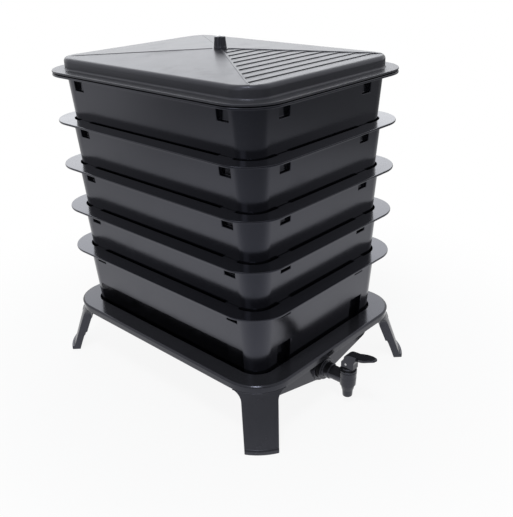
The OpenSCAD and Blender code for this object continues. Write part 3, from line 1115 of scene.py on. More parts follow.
    def build(self) -> None:
        """Builds the lid as one moulding."""
        rib = RIM.wall_at(self.rib_h, RIM.wall + self.rib_gap)
        rib = Outline(rib.width, rib.length, RIM.wall_top.corner - RIM.wall - self.rib_gap)
        under = self.brim_z - self.gap
        groove_w, groove_in = RIM.groove_size
        ring = rib.plate("rib", -self.rib_h, self.gap + self.thick / 2)
        notches = RIM.at_lugs("notches", groove_w, groove_in, -self.rib_h - OVERRUN, 0)
        move(combine(ring, Join.CUT, notches), Matrix.Translation((0, 0, under)))
        seat = RIM.outline.inset(self.seat_in)
        lid = RIM.outline.plate("lid_moulding", self.brim_z, self.brim_z + self.thick)
        combine(lid, Join.ADD, seat.plate("seat_ring", under, self.brim_z + self.thick / 2), ring)
        combine(lid, Join.CUT, rib.inset(self.rib_t).plate(
            "well", under - self.rib_h - OVERRUN, self.brim_z + self.thick + OVERRUN))
        soften(lid, self.mould_edge)
        hollow = self._house("hollow", self.thick, [
            self.box.inset(self.thick).ring(self.brim_z, self._corner_angles())])
        combine(hollow, Join.CUT, rod("boss", self.boss_r, self.top_z - self.boss_h, self.top_z))
        house = combine(self._house("house", 0, self._wall_foot()), Join.CUT, hollow)
        combine(lid, Join.ADD, house, self._beads())
        combine(lid, Join.CUT, self._board_cutter(), rod(
            "screw_hole", self.screw_r, self.top_z - self.screw_in, self.top_z + OVERRUN))
        clean_mesh(lid.data)
        smooth(lid, self.sharp)
        plastic = MouldedPlastic("lid_plastic", Sheen.SATIN, colour=(0.036, 0.036, 0.040), seed=2.3)
        dress(lid, "lid", Slot.LID, plastic.material(), "lid")


@dataclass
class FlutedKnob:
    """The fluted knob on the lid and the screw that holds it."""

    foot_r: float = 0.008
    top_r: float = 0.00675
    height: float = 0.0135
    flutes: int = 8
    flute_r: float = 0.0016
    flute_out: float = 0.0006
    flute_foot: float = 0.0025
    flute_fade: float = 0.0012
    ring_heights: tuple[float, ...] = (
        0.0, 0.0004, 0.0018, 0.0020, 0.0022, 0.0025, 0.0028, 0.0031, 0.0055, 0.0085)
    edge: float = 0.0011
    steps: int = 160
    screw_r: float = 0.002
    screw_play: float = 0.00005
    head_r: float = 0.0035
    head_h: float = 0.0008
    head_rings: tuple[Span, ...] = ((1.0, 0.35), (0.92, 0.65), (0.7, 0.88), (0.35, 1.0))
    recess_w: float = 0.0009
    recess_l: float = 0.0040
    sharp: float = math.radians(42)

    def __post_init__(self) -> None:
        """Takes the knob's foot and the screw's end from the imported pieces."""
        self.base_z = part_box("lid_knob")[0].z
        self.screw_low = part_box("lid_knob_screw")[0].z

    def _radius(self, turn: float, height: float) -> float:
        """Works out the knob's radius, with its tapered side, round edge and flutes.

        Args:
            turn: turn about its axis, in radians.
            height: height above its foot.

        Returns:
            The radius there.
        """
        full = self.foot_r + (self.top_r - self.foot_r) * height / self.height
        from_top = self.height - height
        radius = full
        if from_top < self.edge:
            radius -= self.edge - math.sqrt(self.edge ** 2 - (self.edge - from_top) ** 2)
        pitch = 2 * math.pi / self.flutes
        off = (turn + pitch / 2) % pitch - pitch / 2
        axis = full + self.flute_out
        reach = self.flute_r ** 2 - (axis * math.sin(off)) ** 2
        if reach > 0:
            above = height - self.flute_foot + self.flute_fade / 2
            fade = min(1.0, max(0.0, above / self.flute_fade))
            fade *= fade * (3 - 2 * fade)
            floor = axis * math.cos(off) - math.sqrt(reach)
            radius = min(radius, full + (floor - full) * fade)
        return radius

    def build(self) -> None:
        """Builds the knob and its screw."""
        top = self.base_z + self.height
        heights = [*self.ring_heights]
        heights += [self.height - self.edge * (1 - math.sin(turn)) for turn in arc(0, 84, 5)]
        turns = [2 * math.pi * step / self.steps for step in range(self.steps)]
        rings = [[Vector((self._radius(turn, height) * math.cos(turn),
                          self._radius(turn, height) * math.sin(turn), self.base_z + height))
                  for turn in turns] for height in heights]
        rings.append([Vector((0.9 * point.x, 0.9 * point.y, top)) for point in rings[-1]])
        knob = loft("knob_fluted", rings)
        combine(knob, Join.CUT, rod("bore", self.screw_r + self.screw_play,
                                    self.base_z - OVERRUN, top + OVERRUN))
        smooth(knob, self.sharp)
        plastic = MouldedPlastic("knob_plastic", Sheen.SEMI, colour=(0.018, 0.018, 0.020), seed=4.1)
        dress(knob, "lid", Slot.KNOB, plastic.material(), "lid_knob")
        head = [(out * self.head_r, top + up * self.head_h) for out, up in self.head_rings]
        screw = lathe("knob_screw", [
            (self.screw_r, self.screw_low), (self.screw_r, top), (self.head_r, top), *head])
        half_w, half_l = self.recess_w / 2, self.recess_l / 2
        for reach_x, reach_y in ((half_w, half_l), (half_l, half_w)):
            slot = blocks("recess", [(Vector((-reach_x, -reach_y, top + 0.2 * self.head_h)),
                                      Vector((reach_x, reach_y, top + 2 * self.head_h)))])
            combine(screw, Join.CUT, slot)
        smooth(screw)
        dress(screw, "lid", Slot.STEEL, PlatedSteel("screw_plating").material(), "lid_knob_screw")


@dataclass
class CollectorBase:
    """The base that the stack stands in, with its sloping basin, boss and four legs."""

    corner: float = 0.049
    thick: float = 0.003
    skirt: float = 0.010
    seat_drop: float = 0.0105
    seat_gap: float = 0.0026
    ledge: float = 0.0085
    tray_height: float = 0.095
    sump_r: float = 0.012
    sump_behind: float = 0.020
    sump_below_tap: float = 0.013
    sump_thick: float = 0.0035
    tap_z: float = 0.034
    boss_r: float = 0.018
    boss_wall: float = 0.0035
    boss_out: float = 0.0025
    nut_room_r: float = 0.0145
    bore_r: float = 0.00825
    leg_w_foot: float = 0.040
    leg_w_top: float = 0.043
    leg_thick: float = 0.003
    leg_channel: float = 0.006
    leg_hollow_r: float = 0.012
    rib_deeper: float = 0.0025
    rib_end_z: float = 0.028
    sole_h: float = 0.005
    sole_out: float = 0.0015
    tongue_w: float = 0.030
    tongue_gap: float = 0.0002
    belly_half: float = 0.106
    belly_side: float = 0.012
    belly_side_z: float = 0.0368
    belly_round_z: float = 0.0508
    belly_middle: float = 0.009
    belly_back: float = 0.050
    belly_set_back: float = 0.0025
    arch_r: float = 0.0048
    arch_thick: float = 0.0011
    edge: float = 0.0007
    rim_edge: float = 0.0009
    rim_round: float = 0.0024

    def __post_init__(self) -> None:
        """Takes the base's outline and the feet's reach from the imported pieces."""
        low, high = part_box("collector_base")
        self.rim_z = high.z
        self.outline = Outline(high.x - low.x, 2 * high.y, self.corner)
        self.leg_top_z = self.rim_z - self.skirt
        self.seat_z = self.rim_z - self.seat_drop
        depth = self.tray_height - self.seat_drop
        self.seat = RIM.wall_at(depth).inset(-self.seat_gap)
        basin = self.seat.inset(self.ledge)
        self.basin = Outline(basin.width, basin.length, self.seat.corner - self.ledge / 2)
        self.boss_y = -self.seat.length / 2 - self.boss_out
        self.nut_y = self.boss_y + self.boss_wall
        self.sump = Vector((0, self.nut_y + self.sump_behind, 0))
        self.centre = Vector((self.outline.width / 2 - self.corner,
                              self.outline.length / 2 - self.corner, 0))
        half = self.leg_w_foot / 2
        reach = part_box("leg_front_right")[1].x - self.centre.x
        self.sole_r = math.hypot(math.sqrt(2) * reach - half, half)
        self.foot_r = self.sole_r - self.sole_out

    def _leg_r(self, height: float) -> float:
        """Returns the radius of the legs' outer face about the corner's centre at a height."""
        return self.foot_r - (self.foot_r - self.corner) * height / self.leg_top_z

    def _basin_solid(self, name: str, skin: float, top: float, bottom: float) -> Piece:
        """Returns the basin as a solid, from just above its outline down to the round sump.

        Args:
            name: name of the mesh.
            skin: how far it stands out from the basin's inside.
            top: height at which its slopes end.
            bottom: height of the sump.

        Returns:
            The solid, whose sides go on upright for a little above the slopes.
        """
        radius = self.sump_r + skin
        sump = [point + self.sump for point in Outline(2 * radius, 2 * radius, radius).ring(bottom)]
        outline = self.basin.inset(-skin)
        return loft(name, [sump, outline.ring(top), outline.ring(top + OVERRUN)])

    def _belly(self, name: str, skin: float, top: float) -> Piece:
        """Returns the base's deep front, whose underside slopes up towards the back.

        Args:
            name: name of the mesh.
            skin: how far it is drawn in.
            top: height of its top.

        Returns:
            The solid, from the plane of the boss to where its underside meets the seat.
        """
        low = self.tap_z - self.sump_below_tap - self.sump_thick + skin
        side_z, round_z = self.belly_side_z + skin, self.belly_round_z + skin
        half = self.belly_half - skin
        right = [(half, top), (half - 0.1 * self.belly_side, round_z),
                 (half - 0.4 * self.belly_side, 0.6 * side_z + 0.4 * round_z),
                 (half - self.belly_side, side_z), (self.belly_middle, low)]
        outline = right + [(-x, z) for x, z in reversed(right)]
        front = self.boss_y + self.belly_set_back + skin
        rings = [[Vector((x, front, z)) for x, z in outline],
                 [Vector((x, self.belly_back - 2 * skin, top if z == top else top - OVERRUN / 2))
                  for x, z in outline]]
        return loft(name, rings)

    def _round_y(self, name: str, radius: float, start: float, end: float) -> Piece:
        """Returns a round bar along Y at the tap's height, between two places."""
        return move(rod(name, radius, 0, end - start), along_y(Vector((0, start, self.tap_z))))

    def _corner_turns(self) -> dict[str, Matrix]:
        """Places the legs.

        Returns:
            Each leg's place by its name, with +X pointing out along the corner's diagonal.
        """
        turns = {}
        for name, sign_x, sign_y in (("front_left", -1, -1), ("front_right", 1, -1),
                                     ("back_left", -1, 1), ("back_right", 1, 1)):
            spot = Matrix.Translation((sign_x * self.centre.x, sign_y * self.centre.y, 0))
            turns[name] = spot @ Matrix.Rotation(math.atan2(sign_y, sign_x), 4, "Z")
        return turns

    def _rim_plate(self) -> Piece:
        """Makes the plate of the base's rim.

        Returns:
            The plate, whose upper edge is well rounded.
        """
        rings = [self.outline.ring(self.rim_z - self.thick)]
        for turn in arc(0, 90, 5):
            rings.append(self.outline.inset(self.rim_round * (1 - math.cos(turn))).ring(
                self.rim_z - self.rim_round * (1 - math.sin(turn))))
        return loft("base_moulding", rings)

    def build_base(self) -> None:
        """Builds the base as one moulding."""
        seat_low, rim_low = self.seat_z - self.thick, self.rim_z - self.thick / 2
        belly_top, sump_z = seat_low + self.thick / 2, self.tap_z - self.sump_below_tap
        skirt = self.outline.plate("skirt", self.leg_top_z, rim_low)
        combine(skirt, Join.CUT, self.outline.inset(self.thick).plate(
            "inside", self.leg_top_z - OVERRUN, self.rim_z))
        inner = self.corner - self.thick - self.leg_channel
        side = self.tongue_w / 2 + self.tongue_gap
        outer = math.sqrt((self.corner - self.thick / 2) ** 2 - (side + self.thick) ** 2)
        sockets = blocks("sockets", [
            (Vector((inner, low, self.leg_top_z)), Vector((outer, low + self.thick, rim_low)))
            for low in (side, -side - self.thick)], list(self._corner_turns().values()))
        body = self._rim_plate()
        combine(body, Join.ADD, skirt,
                self.seat.inset(-self.thick).plate("seat_block", seat_low, rim_low),
                self._basin_solid("basin_outside", self.thick, seat_low,
                                  sump_z - self.sump_thick),
                self._belly("belly", 0, belly_top),
                self._round_y("boss", self.boss_r, self.boss_y, self.sump.y), sockets)
        combine(body, Join.CUT, self.seat.plate("seat", self.seat_z, self.rim_z + OVERRUN),
                self._basin_solid("basin", 0, self.seat_z, sump_z),
                self._belly("belly_room", self.thick, belly_top),
                self._round_y("nut_room", self.nut_room_r, self.nut_y, self.sump.y),
                self._round_y("bore", self.bore_r, self.boss_y - OVERRUN, self.nut_y + OVERRUN))
        soften(body, self.rim_edge)
        smooth(body)
        plastic = MouldedPlastic("base_plastic", Sheen.GLOSS, colour=(0.022, 0.022, 0.025),
                                 seed=5.2)
        dress(body, "base", Slot.BASE, plastic.material(), "collector_base")

    def _leg_outline(self, skin: float) -> list[tuple[float, float]]:
        """Draws a leg seen square on.

        Args:
            skin: how far the outline is drawn in.

        Returns:
            The corners of the outline, as Y and Z.
        """
        foot = self.leg_w_foot / 2 - skin
        shoulder = self.leg_w_top / 2 + self.leg_hollow_r
        hollow_z = self.leg_top_z - self.leg_hollow_r
        side = [(foot, -skin)]
        side += [(shoulder - (self.leg_hollow_r + skin) * math.cos(turn),
                  hollow_z + (self.leg_hollow_r + skin) * math.sin(turn))
                 for turn in arc(0, 82, 10)]
        side = [(y, z) for y, z in side if z < self.leg_top_z]
        side.append((shoulder - skin, self.leg_top_z + OVERRUN))
        return side + [(-y, z) for y, z in reversed(side)]

    def leg(self) -> Piece:
        """Builds a leg about its corner's centre.

        Returns:
            The leg, with its sole, channel, tongue and raised arch.
        """
        top, deep = self.leg_top_z, self.leg_thick + self.leg_channel
        steps = 2 * ROUND_STEPS
        made = lathe("leg", [
            (self.sole_r, 0), (self.sole_r, self.sole_h), (self._leg_r(self.sole_h), self.sole_h),
            (self._leg_r(top), top)], steps)
        combine(made, Join.KEEP, side_prism(
            "front", self._leg_outline(0), 0, self.sole_r + OVERRUN))
        rib_end_r = self._leg_r(self.rib_end_z) - deep
        reach = self._leg_r(top) - deep - self.rib_deeper
        combine(made, Join.CUT, lathe("core", [
            (self._leg_r(0) - deep, -OVERRUN), (rib_end_r, self.rib_end_z),
            (rib_end_r - self.rib_deeper, self.rib_end_z), (reach, top + OVERRUN)], steps))
        combine(made, Join.KEEP, blocks("ahead", [(
            Vector((reach, -self.corner, -OVERRUN)),
            Vector((2 * self.sole_r, self.corner, top)))]))
        channel = lathe("channel", [
            (self._leg_r(self.sole_h) - self.leg_thick, self.sole_h),
            (self._leg_r(top - self.leg_thick) - self.leg_thick, top - self.leg_thick)], steps)
        combine(channel, Join.KEEP, side_prism(
            "between_ribs", self._leg_outline(self.leg_thick), 0, self.sole_r))
        tongue_r = self.corner - self.thick - self.tongue_gap
        tongue = rod("tongue", tongue_r, top - self.leg_thick / 2, self.rim_z - self.thick, steps)
        combine(tongue, Join.CUT, rod("within", tongue_r - self.leg_thick, top - self.leg_thick,
                                      self.rim_z, steps))
        combine(tongue, Join.KEEP, blocks("strip", [(
            Vector((0, -self.tongue_w / 2, 0)),
            Vector((self.corner, self.tongue_w / 2, self.rim_z)))]))
        combine(made, Join.CUT, channel)
        combine(made, Join.ADD, tongue)
        soften(made, self.edge)
        return smooth(combine(made, Join.ADD, self._arch()))

    def _arch(self) -> Piece:
        """Makes the small raised arch under a leg's top edge.

        Returns:
            The arch, on the curve of the leg's outer face.
        """
        foot_z = self.leg_top_z - 0.6 * self.skirt - self.arch_r
        rings: list[Ring] = []
        for turn in arc(0, 180, 18):
            side = self.arch_r * math.cos(turn)
            height = foot_z + self.arch_r * math.sin(turn)
            radius = self._leg_r(height)
            along = side / radius
            middle = Vector((radius * math.cos(along), radius * math.sin(along), height))
            out = Vector((math.cos(along), math.sin(along), 0))
            spread = Vector((-math.sin(along) * math.cos(turn), math.cos(along) * math.cos(turn),
                             math.sin(turn)))
            rings.append([middle + self.arch_thick / 2 * (0.9 * math.cos(at) * out
                                                          + math.sin(at) * spread)
                          for at in arc(0, 330, 11)])
        return loft("arch", rings)

    def build_legs(self) -> None:
        """Places the four legs, which are the same moulding."""
        pattern = self.leg()
        for name, turn in self._corner_turns().items():
            node = f"leg_{name}"
            leg = linked(f"{node}_moulding", pattern.data.copy())
            move(leg, turn)
            plastic = MouldedPlastic(f"{node}_plastic", Sheen.SEMI, colour=(0.034, 0.034, 0.038),
                                     seed=6 + 0.5 * turn.translation.x + turn.translation.y)
            dress(leg, "base", Slot.BASE, plastic.material(), node)
        bpy.data.objects.remove(pattern)

    def build(self) -> None:
        """Builds the base and its legs."""
        self.build_base()
        self.build_legs()


@dataclass
class LeverTap:
    """The lever tap: its body on a threaded shank, the bonnet, and the lever over them."""

    axis_z: float = 0.034
    flange_r: float = 0.0145
    flange_t: float = 0.004
    shank_r: float = 0.008
    thread_deep: float = 0.0005
    thread_pitch: float = 0.002
    root_r: float = 0.0103
    root_end: float = 0.0088
    neck_r: float = 0.00885
    barrel_r: float = 0.0108
    barrel_taper: float = 0.0008
    band_deep: float = 0.0003
    band_low: float = 0.0040
    band_high: float = 0.0085
    band_slope: float = 0.0005
    shoulder_below: float = 0.007
    barrel_above: float = 0.012
    spout_root_below: float = 0.015
    spout_r: float = 0.0062
    spout_flare: float = 0.0006
    mouth_round: float = 0.0012
    spout_bore_r: float = 0.004
    water_bore_r: float = 0.00425
    chamber_r: float = 0.0085
    chamber_below: float = 0.006
    bonnet_h: float = 0.006
    collar_r: float = 0.0084
    plug_h: float = 0.002
    plug_play: float = 0.00005
    stem_r: float = 0.00255
    lever_foot: float = 0.0057
    heel_out: float = 0.0075
    toe_out: float = 0.0104
    crest: float = 0.015
    tip: float = 0.020
    lever_l: float = 0.040
    paddle_w: float = 0.0155
    paddle_end_w: float = 0.009
    fork_w: float = 0.012
    slot_ahead: float = 0.0072
    slot_behind: float = 0.0035
    eye_w: float = 0.005
    eye_r: float = 0.0042
    eye_play: float = 0.0008
    fork_gap: float = 0.0003
    pin_r: float = 0.0015
    edge: float = 0.0005
    lever_edge: float = 0.0009
    lever_steps: int = 3
    lever_sharp: float = math.radians(36)
    sharp: float = math.radians(34)

    def __post_init__(self) -> None:
        """Takes the places of the valve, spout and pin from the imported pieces."""
        low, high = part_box("tap_body")
        bonnet_low, bonnet_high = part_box("tap_bonnet")
        self.valve = Vector((0, (bonnet_low.y + bonnet_high.y) / 2, 0))
        self.spout_z = low.z
        self.shank_end = high.y
        self.top_z = self.axis_z + self.barrel_above
        pin_low, pin_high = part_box("tap_lever_pin")
        self.pin = Vector((0, self.valve.y, (pin_low.z + pin_high.z) / 2))
        self.flange_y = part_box("tap_outer_gasket")[0].y - self.flange_t

    def _along(self, name: str, profile: Sequence[tuple[float, float]]) -> Piece:
        """Turns a solid about the water's way.

        Args:
            name: name of the new object.
            profile: radius and Y of each ring, from one end to the other.

        Returns:
            The closed solid.
        """
        start = profile[0][1]
        turned = lathe(name, [(radius, y - start) for radius, y in profile])
        return move(turned, along_y(Vector((0, start, self.axis_z))))

    def _upright(self, name: str, profile: Sequence[tuple[float, float]]) -> Piece:
        """Returns a solid turned about the valve's upright axis."""
        return move(lathe(name, profile), Matrix.Translation(self.valve))

    def _shank(self) -> list[tuple[float, float]]:
        """Draws the threaded shank.

        Returns:
            Its profile as radius and Y, from the flange inwards.
        """
        profile = []
        y = self.flange_y + self.flange_t + 2 * self.thread_pitch
        profile.append((self.shank_r, y - self.thread_pitch))
        while y + self.thread_pitch < self.shank_end:
            profile += [(self.shank_r, y), (self.shank_r - self.thread_deep,
                                            y + self.thread_pitch / 2)]
            y += self.thread_pitch
        return profile + [(self.shank_r - self.thread_deep, self.shank_end)]

    def body(self) -> None:
        """Builds the tap's body: barrel, spout, neck, flange and shank."""
        z, mouth = self.axis_z, self.mouth_round
        flare = self.spout_r + self.spout_flare
        waist = self.barrel_r - self.barrel_taper
        girth = self.barrel_r - 0.3 * self.barrel_taper
        in_band = self.barrel_r - self.band_deep
        root_z, shoulder_z = z - self.spout_root_below, z - self.shoulder_below
        made = self._upright("tap_moulding", [
            (self.spout_r - mouth, self.spout_z),
            (self.spout_r - 0.3 * mouth, self.spout_z + 0.3 * mouth),
            (self.spout_r, self.spout_z + mouth), (flare, root_z), (flare + 0.0008, root_z + 0.001),
            (waist - 0.0012, shoulder_z - 0.001), (waist, shoulder_z),
            (girth, z + self.band_low - self.band_slope),
            (girth - self.band_deep, z + self.band_low),
            (in_band, z + self.band_low + 2 * self.band_slope), (in_band, z + self.band_high),
            (self.barrel_r, z + self.band_high + self.band_slope), (self.barrel_r, self.top_z)])
        front, back = self.flange_y, self.flange_y + self.flange_t
        root = front - self.root_end
        combine(made, Join.ADD, self._along("branch", [
            (self.neck_r, self.valve.y), (self.neck_r, root - 0.0006), (self.neck_r + 0.0004, root),
            (self.root_r, root + 0.0008), (self.root_r, front - 0.0012),
            (self.root_r + 0.0010, front), (self.flange_r - 0.0008, front),
            (self.flange_r, front + 0.0008), (self.flange_r, back), (self.shank_r, back),
            *self._shank()]))
        combine(made, Join.CUT,
                self._upright("chamber", [(self.chamber_r, z - self.chamber_below),
                                          (self.chamber_r, self.top_z + OVERRUN)]),
                self._upright("spout_bore", [(self.spout_bore_r, self.spout_z - OVERRUN),
                                             (self.spout_bore_r, z)]),
                self._along("water_way", [(self.water_bore_r, self.valve.y),
                                          (self.water_bore_r, self.shank_end + OVERRUN)]))
        smooth(made, self.sharp)
        plastic = MouldedPlastic("tap_plastic", Sheen.SEMI, colour=(0.024, 0.024, 0.026),
                                 wave=0.00002, seed=7.3)
        dress(made, "base", Slot.TAP, plastic.material(), "tap_body")

    def bonnet(self) -> None:
        """Builds the bonnet that closes the valve's chamber."""
        top, half, bevel = self.top_z, self.bonnet_h / 2, self.edge
        plug_r = self.chamber_r - self.plug_play
        made = self._upright("bonnet_turned", [
            (plug_r, top - self.plug_h), (plug_r, top),
            (self.barrel_r - bevel, top), (self.barrel_r, top + bevel),
            (self.barrel_r, top + half - bevel), (self.barrel_r - bevel, top + half),
            (self.collar_r, top + half), (self.collar_r, top + self.bonnet_h - bevel),
            (self.collar_r - bevel, top + self.bonnet_h)])
        combine(made, Join.CUT, self._upright("stem_way", [
            (self.stem_r, top - self.plug_h - OVERRUN),
            (self.stem_r, top + self.bonnet_h + OVERRUN)]))
        smooth(made, self.sharp)
        plastic = MouldedPlastic("bonnet_plastic", Sheen.SEMI, colour=(0.020, 0.020, 0.022),
                                 wave=0.00002, seed=8.1)
        dress(made, "base", Slot.TAP, plastic.material(), "tap_bonnet")

    def _lever_side(self) -> list[tuple[float, float]]:
        """Draws the lever seen from the side.

        Returns:
            The corners of the outline, as Y and Z from its pin.
        """
        lift = self.crest
        upper = [(self.heel_out, -self.lever_foot), (self.heel_out, 0.001), (0.0062, 0.0029),
                 (0.0046, 0.0048), (0.0036, 0.0072), (0.0030, 0.0100), (0.0014, lift - 0.0030),
                 (-0.0010, lift - 0.0012), (-0.0034, lift - 0.0002), (-0.0062, lift + 0.0001),
                 (-0.0130, lift + 0.0006), (-0.0200, lift + 0.0016), (-0.0270, lift + 0.0030),
                 (-0.0320, lift + 0.0043)]
        end = [(-self.lever_l + 0.004, self.tip), (-self.lever_l + 0.0012, self.tip),
               (-self.lever_l, self.tip - 0.0009), (-self.lever_l + 0.0012, self.tip - 0.0026)]
        lower = [(-0.0320, lift + 0.0006), (-0.0240, lift - 0.0022), (-0.0180, lift - 0.0038),
                 (-0.0145, lift - 0.0054), (-0.0122, lift - 0.0082), (-0.0108, lift - 0.0110),
                 (-self.toe_out, 0.001), (-self.toe_out, -self.lever_foot)]
        return upper + end + lower

    def _lever_plan(self) -> list[tuple[float, float]]:
        """Draws the lever seen from above.

        Returns:
            The corners of the outline, as X and Y from its pin.
        """
        fork, paddle, end = self.fork_w / 2, self.paddle_w / 2, self.paddle_end_w / 2
        right = [(fork, self.heel_out + OVERRUN), (fork, -self.toe_out),
                 (fork - 0.0002, -self.toe_out - 0.0030), (0.94 * paddle, -self.toe_out - 0.0080),
                 (paddle, -self.toe_out - 0.0120), (0.97 * paddle, -self.toe_out - 0.0160),
                 (0.86 * paddle, -self.toe_out - 0.0200)]
        middle = -self.lever_l + end
        right += [(end * math.cos(turn), middle - end * math.sin(turn))
                  for turn in arc(12, 84, 8)]
        return right + [(-x, y) for x, y in reversed(right)]

    def lever(self) -> None:
        """Builds the lever with its fork, its slot for the stem and its paddle."""
        made = side_prism("lever_moulding", self._lever_side(), -self.barrel_r, self.barrel_r)
        combine(made, Join.KEEP, prism(
            "plan", self._lever_plan(), -self.lever_foot - OVERRUN, self.tip + OVERRUN))
        soften(made, self.lever_edge, self.lever_steps, self.lever_sharp)
        half = self.eye_w / 2 + self.fork_gap
        sideways = Matrix.Rotation(math.radians(90), 4, "Y")
        combine(made, Join.CUT,
                move(rod("eye_room", self.eye_r + self.eye_play, -half, half), sideways),
                blocks("stem_slot", [(Vector((-half, -self.slot_ahead, -self.lever_foot - OVERRUN)),
                                      Vector((half, self.slot_behind, 0)))]),
                move(rod("pin_bore", self.pin_r, -self.fork_w, self.fork_w), sideways))
        smooth(made)
        move(made, Matrix.Translation(self.pin))
        plastic = MouldedPlastic("lever_plastic", Sheen.POLISHED, colour=(0.016, 0.016, 0.018),
                                 grain=0.000002, wave=0.00003, flow=0.03, seed=9.4)
        dress(made, "tap_lever", Slot.LEVER, plastic.material(), "tap_lever")

    def build(self) -> None:
        """Builds what is seen of the tap and dresses the pieces inside it."""
        self.body()
        self.bonnet()
        self.lever()
        nut = MouldedPlastic("nut_plastic", Sheen.SATIN, seed=10.2)
        stem = MouldedPlastic("stem_plastic", Sheen.SEMI, seed=11.7)
        rubber = Rubber("gasket_rubber", (0.02, 0.02, 0.021)).material()
        silicone = Rubber("seat_silicone", (0.62, 0.62, 0.60), 0.48)
        dress_node("tap_nut", nut.material())
        dress_node("tap_stem", stem.material())
        dress_node("tap_outer_gasket", rubber)
        dress_node("tap_inner_gasket", rubber)
        dress_node("tap_seat", silicone.material())
        dress_node("tap_lever_pin", PlatedSteel("pin_plating").material())


# Studio

@dataclass(frozen=True)
class Softbox:
    """A rectangular soft light that the camera doesn't see."""

    name: str
    spot: Vector
    size: tuple[float, float]
    brightness: float
    colour: Colour = COOL

    def hang(self, target: Vector) -> None:
        """Hangs the light, with a face as bright as its brightness says.

        Args:
            target: where it points.
        """
        data = bpy.data.lights.new(self.name, "AREA")
        data.shape = "RECTANGLE"
        data.size, data.size_y = self.size
        data.color = self.colour
        data.energy = self.brightness * math.pi * self.size[0] * self.size[1]
        light = linked(self.name, data)
        light.matrix_world = (Matrix.Translation(self.spot)
                              @ (self.spot - target).to_track_quat("Z", "Y").to_matrix().to_4x4())
        light.visible_camera = False


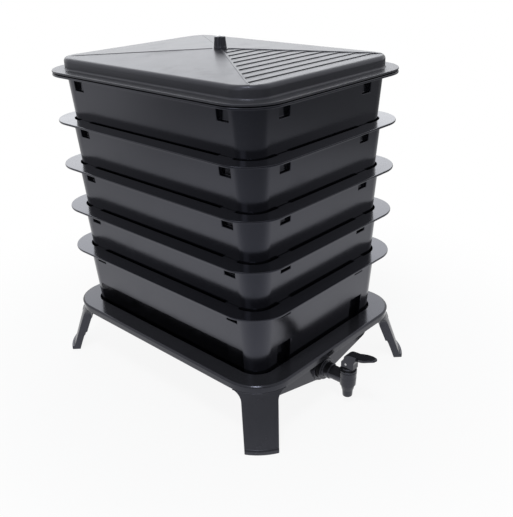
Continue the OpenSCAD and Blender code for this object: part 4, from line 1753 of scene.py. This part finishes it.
@dataclass
class Studio:
    """The floor, plain white to the camera but with painted light and shade in what reflections see
    of it, the soft lights and the camera at the photograph's viewing angle.
    """

    turn: float = math.radians(-46.81)
    lift: float = math.radians(25.13)
    roll: float = math.radians(-1.56)
    distance: float = 0.94439
    target_right: float = 0.03638
    target_z: float = 0.13854
    focal_px: float = 691.45
    width_px: int = 513
    film_width: float = 36.0
    sees: Span = (0.05, 50.0)
    floor_size: float = 14.0
    floor_z: float = -0.0004
    # The floor's white, and the painted dimness beyond the painted pool of light.
    white_and_painted_pool_tones: Span = (0.05, 0.95)
    shadow_reach: Span = (0.22, 0.62)
    shadow_share: float = 0.10
    # Painted light and shade on the floor, seen mostly in reflections: a pool of light round the
    # object, shade towards the camera and far to the right, and a glow behind on the left.
    pool_reach: Span = (0.10, 1.25)
    pool_drop: float = 0.78
    painted_front_shade_reach: Span = (0.16, 0.50)
    painted_front_shade_drop: float = 0.86
    side_reach: Span = (0.85, 1.10)
    side_drop: float = 0.55
    glow: float = 0.45
    glow_back: Span = (-0.2, 0.05)
    glow_left: Span = (-1.0, -0.6)
    surround: float = 0.36
    front_tone: float = 0.50
    front_reach: Span = (-0.3, 0.6)
    light_target: Vector = field(default_factory=lambda: Vector((0, 0, 0.3)))

    def _towards(self) -> Vector:
        """Returns the level direction from the object towards the camera."""
        return Vector((math.sin(self.turn), -math.cos(self.turn), 0))

    def _aside(self) -> Vector:
        """Returns the level direction to the right of the picture."""
        return Vector((math.cos(self.turn), math.sin(self.turn), 0))

    def _axes(self) -> tuple[Vector, Vector, Vector]:
        """Works out how the camera is turned.

        Returns:
            Its right, up and backward directions.
        """
        back = Vector((math.sin(self.turn) * math.cos(self.lift),
                       -math.cos(self.turn) * math.cos(self.lift), math.sin(self.lift)))
        right = self._aside()
        up = back.cross(right)
        cos_r, sin_r = math.cos(self.roll), math.sin(self.roll)
        return cos_r * right + sin_r * up, cos_r * up - sin_r * right, back

    def camera(self) -> None:
        """Places the camera and makes it the scene's own."""
        right, up, back = self._axes()
        target = Vector((self.target_right * math.cos(self.turn),
                         self.target_right * math.sin(self.turn), self.target_z))
        spot = target + self.distance * back
        data = bpy.data.cameras.new("camera")
        data.sensor_fit = "HORIZONTAL"
        data.sensor_width = self.film_width
        data.lens = self.focal_px * self.film_width / self.width_px
        data.clip_start, data.clip_end = self.sees
        view = linked("camera", data)
        turn = Matrix((right, up, back)).transposed().to_4x4()
        view.matrix_world = Matrix.Translation(spot) @ turn
        bpy.context.scene.camera = view

    @staticmethod
    def _rays(shader: Shader) -> tuple[Wire, Wire]:
        """Tells rays apart by what they come from.

        Args:
            shader: the tree that asks.

        Returns:
            1 for a ray from the camera, and 1 for one from a shiny or clear surface.
        """
        seen = shader.node("ShaderNodeLightPath", {}, {}, "Is Camera Ray")
        glossy = shader.node("ShaderNodeLightPath", {}, {}, "Is Glossy Ray")
        through = shader.node("ShaderNodeLightPath", {}, {}, "Is Transmission Ray")
        mirrored = shader.node("ShaderNodeMath", {"operation": "MAXIMUM"}, {0: glossy, 1: through})
        return seen, mirrored

    def floor(self) -> None:
        """Lays a wide floor that the camera sees white and that keeps the object's soft shadow; a
        pool of light round the object is painted into its colour and into what reflections see of
        it, with painted shade and glow.
        """
        half = self.floor_size / 2
        corners = [(x, y, self.floor_z) for x, y in
                   ((-half, -half), (half, -half), (half, half), (-half, half))]
        mesh = bpy.data.meshes.new("floor")
        mesh.from_pydata(corners, [], [(0, 1, 2, 3)])
        ground = linked("floor", mesh)
        floor_and_painted_light = bpy.data.materials.new("floor_with_painted_light")
        shader = Shader(floor_and_painted_light)
        seen, mirrored = self._rays(shader)
        here = shader.spot()
        reach = here.length()
        # Painted pool of light: the floor's colour and its brightness in reflections fall off away
        # from the object.
        pool = 1 - self.pool_drop * reach.between(*self.pool_reach)
        towards, aside = here.along(self._towards()), here.along(self._aside())
        # Painted shade: in reflections the floor dims towards the camera and far to the right.
        painted_front_shade = 1 - self.painted_front_shade_drop * towards.between(*self.painted_front_shade_reach)
        dim = 1 - self.side_drop * aside.between(*self.side_reach)
        # Painted glow: in reflections the floor brightens behind the object on the left.
        glow = (self.glow * (1 - towards.between(*self.glow_back))
                * (1 - aside.between(*self.glow_left)))
        shadow = 1 - reach.between(*self.shadow_reach)
        # Camera rays get the floor's white tone; other rays get the painted pool of light in the
        # floor's colour.
        deep, pale = ((tone, tone, tone) for tone in self.white_and_painted_pool_tones)
        lit = shader.node("ShaderNodeBsdfDiffuse", {}, {
            "Color": shader.blend(pool + seen, deep, pale)})
        white = shader.node("ShaderNodeEmission", {}, {"Color": (1, 1, 1, 1), "Strength": 1.0})
        # Camera rays see white, a little less near the object so that its real shadow shows;
        # reflections see the painted pool of light, shade and glow.
        share = seen * (1 - self.shadow_share * shadow) + mirrored * (pool * painted_front_shade * dim + glow)
        shader.end(shader.node("ShaderNodeMixShader", {}, {0: share, 1: lit, 2: white}))
        mesh.materials.append(floor_and_painted_light)

    def light(self) -> None:
        """Hangs the lights and sets the world round them."""
        world = bpy.data.worlds.new("studio")
        bpy.context.scene.world = world
        shader = Shader(world)
        seen, mirrored = self._rays(shader)
        front = self.front_tone
        soft = shader.node("ShaderNodeBackground", {}, {
            "Color": (*(self.surround * part for part in COOL), 1)})
        behind = shader.node("ShaderNodeTexCoord", {}, {}, "Generated").along(-self._towards())
        tone = shader.blend((behind + seen).between(*self.front_reach), (front, front, front),
                            (1, 1, 1))
        white = shader.node("ShaderNodeBackground", {}, {"Color": tone})
        shader.end(shader.node("ShaderNodeMixShader", {}, {0: seen + mirrored, 1: soft, 2: white}))
        for name, spot, size, brightness in (
                ("back_light", (1.20, 1.42, 1.14), (2.4, 1.2), 1.4),
                ("key_light", (-0.62, -0.46, 1.70), (0.36, 0.36), 21.0),
                ("left_light", (-1.9, -0.2, 1.1), (0.9, 1.3), 1.0)):
            Softbox(name, Vector(spot), size, brightness).hang(self.light_target)

    def build(self) -> None:
        """Sets up the whole studio."""
        bpy.context.scene.view_settings.view_transform = "Standard"
        self.camera()
        self.floor()
        self.light()


def main() -> None:
    """Builds the wormery and its studio."""
    logging.basicConfig(level=logging.INFO, format="%(message)s")
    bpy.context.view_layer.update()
    for assembly in (Studio, CollectorBase, TrayStack, RoofLid, FlutedKnob, LeverTap):
        assembly().build()
    bpy.context.view_layer.update()


if __name__ == "__main__":
    main()
